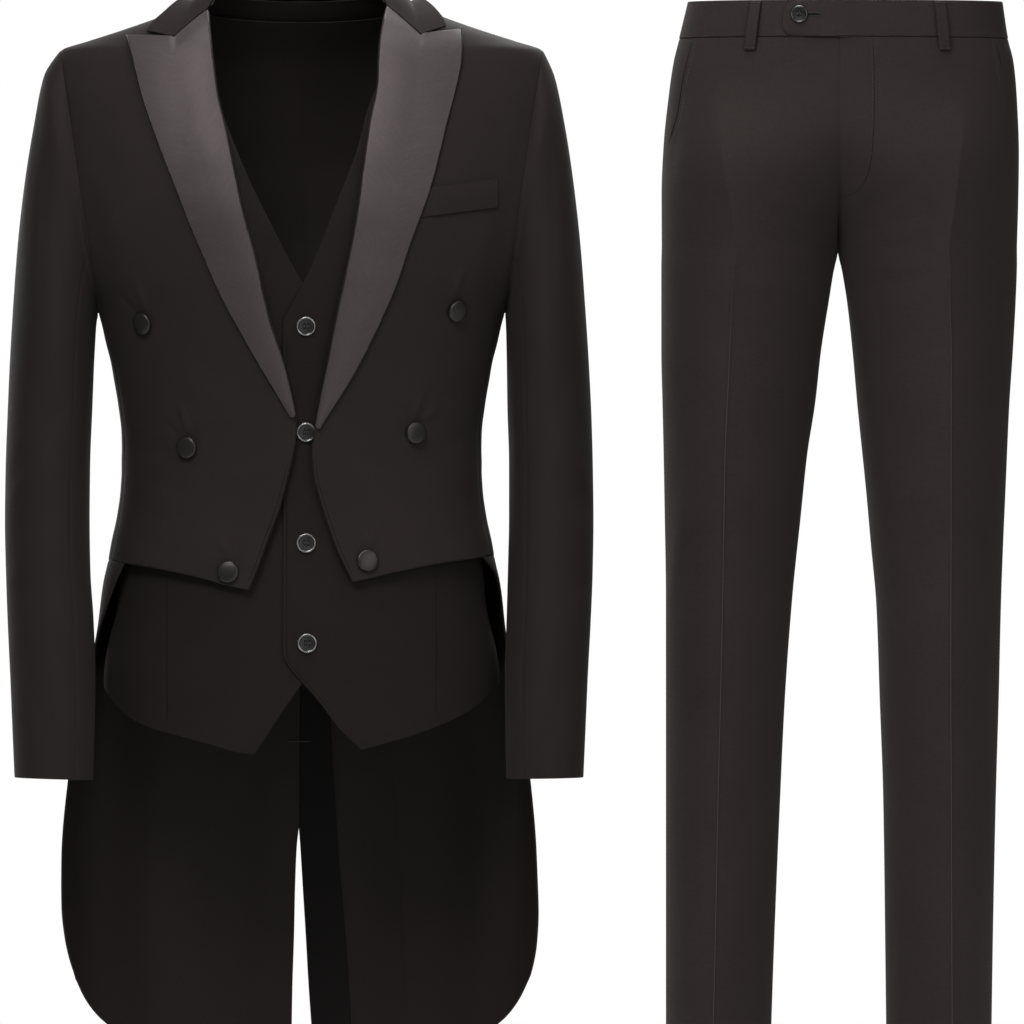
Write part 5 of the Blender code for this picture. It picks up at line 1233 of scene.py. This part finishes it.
loopSet = {
    "width": 11.0, "low": -45.0, "top": -0.5, "arch": 2.4, "wall": 1.4, "off": 0.6, "half": 130.0, "ribs": 0.25,
    "rows": 36, "columns": 12, "places": (-33.0, 37.0, -112.0, 112.0, 180.0)}
loopHalf = np.degrees(loopSet["width"] / 2 / loopSet["half"])
down = steps(loopSet["rows"])[:, None]
z = loopSet["top"] + down * (loopSet["low"] - loopSet["top"])
ribs = loopSet["ribs"] * np.abs(np.sin(np.pi * 2 * steps(loopSet["columns"])))
lift = loopSet["off"] + loopSet["arch"] * np.sin(np.pi * down) ** 0.6 + loopSet["wall"] + ribs
for number, place in enumerate(loopSet["places"]):
    grid = bandPoint(np.linspace(place - loopHalf, place + loopHalf, loopSet["columns"] + 1), z, lift)
    clothShell(
        f"beltLoop{number + 1}", grid, loopSet["wall"], "trouserWool",
        bandAway(grid))
print("waistband and loops made")


# Small round and long pieces

# a piece with no cloth shell, its faces turned outwards
def putLoose(name, points, faces, looks, numbers=None, node=None):
    numbers = np.zeros(len(faces)) if numbers is None else numbers
    putPiece(name, points, faces, points[:, [0, 2]], looks, numbers, node, outward=True)


# even angles round a circle
def circle(count):
    return np.linspace(0, 2 * np.pi, count, endpoint=False)


# frames along a path: unit tangents and the directions across it on the cloth
def pathFrames(path, normal):
    tangent = unit(np.gradient(path, axis=0))
    across = unit(np.cross(tangent, normal))
    return tangent, across, np.cross(across, tangent)


# a closed tube along a path: an oval of half width and height, closed to a point at both ends
def tubeAlong(name, path, normal, halfWidth, height, finish):
    across, up = pathFrames(path, normal)[1:]
    turn, share = circle(8)[:, None], steps(len(path) - 1)
    taper = np.sin(np.pi / 2 * np.minimum(1, 6 * np.minimum(share, 1 - share) + 0.15))
    ring = halfWidth * np.cos(turn) * across[:, None] + height * np.sin(turn) * up[:, None]
    points = (path[:, None] + taper[:, None, None] * ring).reshape(-1, 3)
    count = len(points)
    at = np.arange(count).reshape(len(path), len(turn))
    turned = np.roll(at, -1, axis=1)
    faces = [
        *ringFaces(at).tolist(), *pointsOf(turned[0], at[0], count).tolist(),
        *pointsOf(at[-1], turned[-1], count + 1).tolist()]
    putLoose(name, np.concatenate([points, path[:1], path[-1:]]), faces, [finish])


# stitches: a small rounded bar repeated at even steps along a path
def stitchRow(name, path, normal, look):
    run = walked(path)
    count = max(1, int(run[-1] / (look["long"] + look["gap"])))
    at = (np.arange(count) + 0.5) * run[-1] / count
    place, tangent, across, up = (cornered(values, run, at)[:, None] for values in (path, *pathFrames(path, normal)))
    bar = np.array([-1.0, -0.8, -0.35, 0.35, 0.8, 1.0])[:, None] * look["long"] / 2
    thick = np.array([0.3, 0.8, 1.0, 1.0, 0.8, 0.3])[:, None] * look["thick"]
    turn = circle(6)
    x, y, z = pointsOf(bar, thick * np.cos(turn), thick * np.sin(turn)).reshape(-1, 3).T[..., None]
    points = place + x * tangent + y * across + z * up
    grid = np.arange(len(x)).reshape(len(bar), len(turn))
    first = len(x) * np.arange(count)[:, None, None]
    quads = (ringFaces(grid) + first).reshape(-1, 4)
    caps = (np.stack([grid[0][::-1], grid[-1]]) + first).reshape(-1, 6)
    putLoose(name, points.reshape(-1, 3), [*quads.tolist(), *caps.tolist()], [look["finish"]])


# the foot and the directions of a button's solid, given the way it faces
def seatOf(node, axis):
    axis = unit(axis)
    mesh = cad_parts[node].data
    points = np.empty(len(mesh.vertices) * 3)
    mesh.vertices.foreach_get("co", points)
    points = np.round(points.reshape(-1, 3) / mm, 3)
    middle = (points.min(axis=0) + points.max(axis=0)) / 2
    foot = middle + axis * np.min((points - middle) @ axis)
    across = unit(np.cross(axis, (0.0, 0.0, 1.0)))
    return foot, across, np.cross(across, axis), axis


# a round piece: radius and height of each ring from a profile, the height lowered by dips(x, y) from one ring on;
# the first look is for most of it, and the second one for the rim's rings
def roundPiece(name, axis, profile, looks, dips=None, sides=48, faceFrom=0, rimRows=(0, 0)):
    foot, across, up, axis = seatOf(nodeOf(name), axis)
    radius, height = np.array(profile, float).T[..., None]
    x, y = radius * np.cos(circle(sides)), radius * np.sin(circle(sides))
    lift = height + 0 * x
    if dips:
        lift[faceFrom:] += dips(x, y)[faceFrom:]
    points = foot + x[..., None] * across + y[..., None] * up + lift[..., None] * axis
    at = np.arange(x.size).reshape(x.shape)
    faces = [*ringFaces(at).tolist(), at[0][::-1].tolist(), at[-1].tolist()]
    row = np.arange(len(faces)) // sides
    numbers = (row >= rimRows[0]) & (row < rimRows[1])
    putLoose(name, points.reshape(-1, 3), faces, looks, numbers, nodeOf(name))


buttonSet = {
    "coat": ((1, 137, -275), (1, 101, -383), (1, 59, -496), (-1, 139, -286), (-1, 100, -396), (-1, 64, -506)),
    "coatProfile": (
        (2.0, 0.0), (7.4, 0.0), (8.9, 0.4), (9.6, 1.2), (9.8, 2.0), (9.75, 2.7), (9.45, 3.3), (8.95, 3.75),
        (8.2, 4.02), (7.0, 4.25), (5.2, 4.5), (3.2, 4.65), (1.2, 4.72)),
    "waistcoat": ((5, -290), (5, -383), (5, -480), (6, -569)), "waistcoatSize": 8.6,
    "waistband": (-34.0, -13.0), "waistbandSize": 7.7,
    "rim": (
        (0.25, 0.0), (0.77, 0.0), (0.93, 0.05), (1.0, 0.15), (0.995, 0.24), (0.96, 0.31), (0.90, 0.345),
        (0.84, 0.33), (0.79, 0.28), (0.75, 0.255)),
    "faceHigh": 0.245, "faceRing": 0.012, "faceFrom": 0.71, "faceTo": 0.03, "faceRings": 30,
    "holeAt": 0.19, "holeRadius": 0.105, "holeDeep": 0.12, "sides": 64, "rimRows": (2, 7),
    "threadLong": 0.2, "threadBow": 0.05, "threadSinks": 0.04, "threadWide": 0.055, "threadThick": 0.05}

for number, (side, x, z) in enumerate(buttonSet["coat"]):
    facing = outFrom(side, angleAt(x, z, coatBody), z, coatBody)
    roundPiece(f"coatButton{number + 1}", facing, buttonSet["coatProfile"], ["buttonCloth"])


# a turned horn button: rolled rim, a groove inside it and a flat face that is finely ringed for the holes; each hole
# lowers the face by its depth times e^-(distance over its radius)^6, and two short bars are the thread
def hornButton(name, axis, size, rimLook):
    look = buttonSet
    share = np.linspace(look["faceFrom"], look["faceTo"], look["faceRings"])
    face = pointsOf(share, look["faceHigh"] + look["faceRing"] * np.cos(share * 9))
    profile = np.array([*look["rim"], *face]) * size
    holeAt, holeRadius = look["holeAt"] * size, look["holeRadius"] * size

    def dips(x, y):
        off = np.hypot(np.abs(x) - holeAt, np.abs(y) - holeAt) / holeRadius
        return -look["holeDeep"] * size * np.exp(-off ** 6)

    roundPiece(name, axis, profile, ["polishedHorn", rimLook], dips, look["sides"], len(look["rim"]), look["rimRows"])
    foot, across, up, axis = seatOf(nodeOf(name), axis)
    t = np.linspace(-1, 1, 15)
    bow = (look["faceHigh"] + look["threadBow"] * (1 - t ** 4) - look["threadSinks"] * np.abs(t) ** 6) * size
    halfWidth, height = look["threadWide"] * size, look["threadThick"] * size
    for index, sign in enumerate((-1, 1)):
        path = foot + sign * holeAt * across + (t * look["threadLong"] * size)[:, None] * up + bow[:, None] * axis
        tubeAlong(f"{name}Thread{index + 1}", path, axis + 0 * path, halfWidth, height, "blackThread")


for number, (x, z) in enumerate(buttonSet["waistcoat"]):
    facing = outFrom(1, angleAt(x, z, vestBody), z, vestBody)
    # the rim's lighter colour is partly painted highlight
    hornButton(f"waistcoatButton{number + 1}", facing, buttonSet["waistcoatSize"], "hornRim")
buttonX, buttonZ = buttonSet["waistband"]
hornButton("waistbandButton", bandOut(placeAt(buttonX), buttonZ), buttonSet["waistbandSize"], "darkRim")
print("buttons made")


# Seam lines of painted shade, crease lines of painted highlight, and stitches

lineSet = {
    "stitch": {"long": 2.4, "gap": 0.9, "thick": 0.28, "finish": "blackThread"},
    "tack": {"long": 0.9, "gap": 0.05, "thick": 0.45, "finish": "blackThread"},
    "holeStitch": {"long": 0.55, "gap": 0.1, "thick": 0.42, "finish": "blackThread"},
    "fly": ((30.0, -36.0), (31.0, -90.0), (29.0, -134.0), (24.0, -158.0), (14.0, -171.0), (1.5, -174.0)),
    "pocket": {
        1: ((140.0, -36.0), (146.0, -70.0), (149.0, -100.0), (158.0, -127.0)),
        -1: ((130.0, -36.0), (138.0, -70.0), (143.0, -100.0), (151.0, -127.0))},
    "crease": {"top": -265.0, "low": -1036.0},
    "dart": {
        1: ((121.0, -500.0), (121.5, -560.0), (121.0, -641.0)),
        -1: ((121.0, -500.0), (120.5, -560.0), (119.5, -644.0))},
    "front": {"top": -408.0, "aboveHem": 4.0, "inside": 3.2}, "lap": {"top": -286.0, "low": -655.0, "inside": 3.4},
    "vent": {"x": (-13.0, 7.0), "z": -657.6, "out": -4.4},
    "loop": {"Top": -2.6, "Low": -43.0, "out": 3.0, "share": 0.9},
    "hole": {"x": -22.0, "z": -13.3, "halfLong": 7.0, "halfWide": 1.3, "slot": 5.5}}


# a path on a trouser front from (distance from the middle, height) stops, and the direction out of the cloth on it
def onTrouser(side, stops, out, count=60):
    x, z = along(stops, steps(count)).T
    share = trouserShare(side, x, z)
    inside = np.clip(share, 0.003, 0.997)
    round3 = trouserPoint(side, False, inside + 0.002, z) - trouserPoint(side, False, inside - 0.002, z)
    down3 = trouserPoint(side, False, share, z - 1) - trouserPoint(side, False, share, z + 1)
    normal = unit(np.cross(round3, down3))
    normal *= -np.sign(normal[:, 1:2])
    return trouserPoint(side, False, share, z) + out * normal, normal


# a seam's painted shade over a body: a thin dark tube through (distance from the middle, height) points
def seamShadeLine(name, side, x, z, out, body, halfWidth=0.35, height=0.25):
    angle = angleAt(x, z, body)
    tubeAlong(
        name, onBody(side, angle, z, out, body), outFrom(side, angle, z, body), halfWidth, height, "seamShadow")


# the fly seam as painted shade: a thin dark tube along the J line, under its stitches
tubeAlong("flySeamShade", *onTrouser(1, lineSet["fly"], 0.0, 120), 0.22, 0.1, "seamShadow")
inFly = np.array(lineSet["fly"]) + (-1.6, 0.8)
stitchRow("flyStitches", *onTrouser(1, inFly, 0.15, 120), lineSet["stitch"])
for side in (1, -1):
    mouth = np.array(lineSet["pocket"][side])
    # painted shade along each pocket mouth: a thin dark tube
    tubeAlong("pocketMouthShade" + sideNames[side], *onTrouser(side, mouth, 0.0), 0.5, 0.2, "seamShadow")
    stitchRow("pocketStitches" + sideNames[side], *onTrouser(side, mouth - (4.0, 0.0), 0.1), lineSet["stitch"])

# painted highlight along the pressed edge of each front crease: a thin tube of lighter wool for the pale line of light
# that the crease catches
for side in (1, -1):
    z = np.linspace(lineSet["crease"]["top"], lineSet["crease"]["low"], 160)
    ridge = trouserPoint(side, False, 0.5 + 0 * z, z)
    rise = softFolds(trouserSet["foldStep"] / 2, z, trouserSet["folds"][side, False]) + creaseRise(z)
    forward = np.broadcast_to((0.0, -1.0, 0.0), ridge.shape)
    tubeAlong("creaseHighlight" + sideNames[side], ridge + rise[:, None] * forward, forward, 0.45, 0.1, "pressedEdge")

# waistcoat darts, each drawn as painted shade: a thin dark tube along its line
for side in (1, -1):
    x, z = along(lineSet["dart"][side], steps(50)).T
    out = softFolds(x, z, vestSet["folds"][side]) - vestSet["drop"] - 0.15
    seamShadeLine("waistcoatDartShade" + sideNames[side], side, x * 1.02, z, out, vestBody, 0.5, 0.3)

# the turned edge of a coat front shows as a fine line a little inside it, below the roll; it is painted shade, a thin
# dark tube where the turn's trough is shaded
for side in (1, -1):
    look = lineSet["front"]
    z = np.linspace(look["top"], coatFrontSet["edge"][side]["z"][-1] + look["aboveHem"], 80)
    x = rollX(side, z) + look["inside"]
    out = softFolds(x, z, coatFrontSet["folds"][side]) - 0.1
    seamShadeLine("frontEdgeShade" + sideNames[side], side, x, z, out, coatBody)

# the lap of the waistcoat, stitched a little inside its edge; the stitch line is painted shade, a thin dark tube
look, edge = lineSet["lap"], vestSet["edge"][1]
z = np.linspace(look["top"], look["low"], 150)
x = smooth(z, edge["z"], edge["x"]) + look["inside"]
seamShadeLine("waistcoatLapShade", 1, x, z, softFolds(x, z, vestSet["folds"][1]) - vestSet["drop"] - 0.1, vestBody)

# bar tacks: over the top of the vent, and at both ends of each belt loop
look = lineSet["vent"]
angle = 180 - angleAt(np.linspace(*look["x"], 20), look["z"], coatBody)
path = onBody(1, angle, look["z"], look["out"], coatBody)
stitchRow("ventTack", path, -outFrom(1, angle, look["z"], coatBody), lineSet["tack"])
look = lineSet["loop"]
for number, middle in enumerate(loopSet["places"]):
    place = middle + np.linspace(-loopHalf, loopHalf, 16) * look["share"]
    for end in ("Top", "Low"):
        path = bandPoint(place, look[end], look["out"])
        stitchRow(f"loopTack{number + 1}{end}", path, bandOut(place, look[end]), lineSet["tack"])

# buttonhole in the waistband's tab: a loop of close stitches round a slot of painted shade, a thin dark tube
look = lineSet["hole"]
turn = np.linspace(0, 2 * np.pi, 80)
place, z = placeAt(look["x"] + look["halfLong"] * np.cos(turn)), look["z"] + look["halfWide"] * np.sin(turn)
stitchRow("tabHoleStitches", bandPoint(place, z, tabLift(place) + 0.15), bandOut(place, z), lineSet["holeStitch"])
place = placeAt(np.linspace(look["x"] - look["slot"], look["x"] + look["slot"], 30))
path = bandPoint(place, look["z"], tabLift(place) + 0.05)
tubeAlong("tabHoleSlotShade", path, bandOut(place, look["z"]), 0.7, 0.2, "seamShadow")
print("seam lines and stitches made")


# Floor, light and background

floorSet = {"z": -1.0405, "x": 0.19, "radius": 1.5, "sides": 96, "colour": (0.82, 0.82, 0.82, 1.0), "rough": 0.8}
turn = circle(floorSet["sides"])
disc = pointsOf(
    floorSet["x"] + floorSet["radius"] * np.cos(turn), floorSet["radius"] * np.sin(turn), floorSet["z"])
floorMesh = bpy.data.meshes.new("floor")
floorMesh.from_pydata(disc.tolist(), [], [list(range(len(disc)))])
floorMaterial = bpy.data.materials.new("paleFloor")
floorMaterial.use_nodes = True
floorInputs = floorMaterial.node_tree.nodes["Principled BSDF"].inputs
floorInputs["Base Color"].default_value = floorSet["colour"]
floorInputs["Roughness"].default_value = floorSet["rough"]
floorMesh.materials.append(floorMaterial)
floor = placed("floor", floorMesh)

lightSet = {
    "key": {"place": (-0.6, -2.2, 1.6), "aim": (0.1, 0, -0.25), "size": 1.1, "power": 84.0},
    "fill": {"place": (1.6, -2.4, 0.5), "aim": (0.3, 0, -0.5), "size": 1.6, "power": 30.0},
    "low": {"place": (0.9, -2.6, -0.9), "aim": (0.5, 0, -0.7), "size": 1.4, "power": 10.0},
    "top": {"place": (0.2, -0.3, 2.0), "aim": (0.2, 0, 0), "size": 1.4, "power": 46.0},
    "back": {"place": (0.7, 2.3, 1.5), "aim": (0.2, 0, -0.4), "size": 1.5, "power": 110.0},
    "backFill": {"place": (-1.4, 2.4, 0.2), "aim": (0.1, 0, -0.5), "size": 1.6, "power": 45.0}}
for name, look in lightSet.items():
    lampData = bpy.data.lights.new(name, "AREA")
    lampData.energy = look["power"]
    lampData.size = look["size"]
    lamp = placed(name, lampData)
    lamp.location = look["place"]
    lamp.rotation_euler = (Vector(look["aim"]) - Vector(look["place"])).to_track_quat("-Z", "Y").to_euler()

world = bpy.data.worlds.new("studio")
bpy.context.scene.world = world
world.use_nodes = True
tree = world.node_tree
rays = addNode(tree, "LightPath")
seen = tree.nodes["Background"]
seen.inputs["Color"].default_value = (1, 1, 1, 1)
lit = addNode(tree, "Background", Color=(0.95, 0.97, 1.0, 1.0), Strength=0.2)
mixed = addNode(tree, "MixShader")
tree.links.new(rays.outputs["Is Camera Ray"], mixed.inputs[0])
tree.links.new(lit.outputs[0], mixed.inputs[1])
tree.links.new(seen.outputs[0], mixed.inputs[2])
tree.links.new(mixed.outputs[0], tree.nodes["World Output"].inputs["Surface"])
print("light placed")
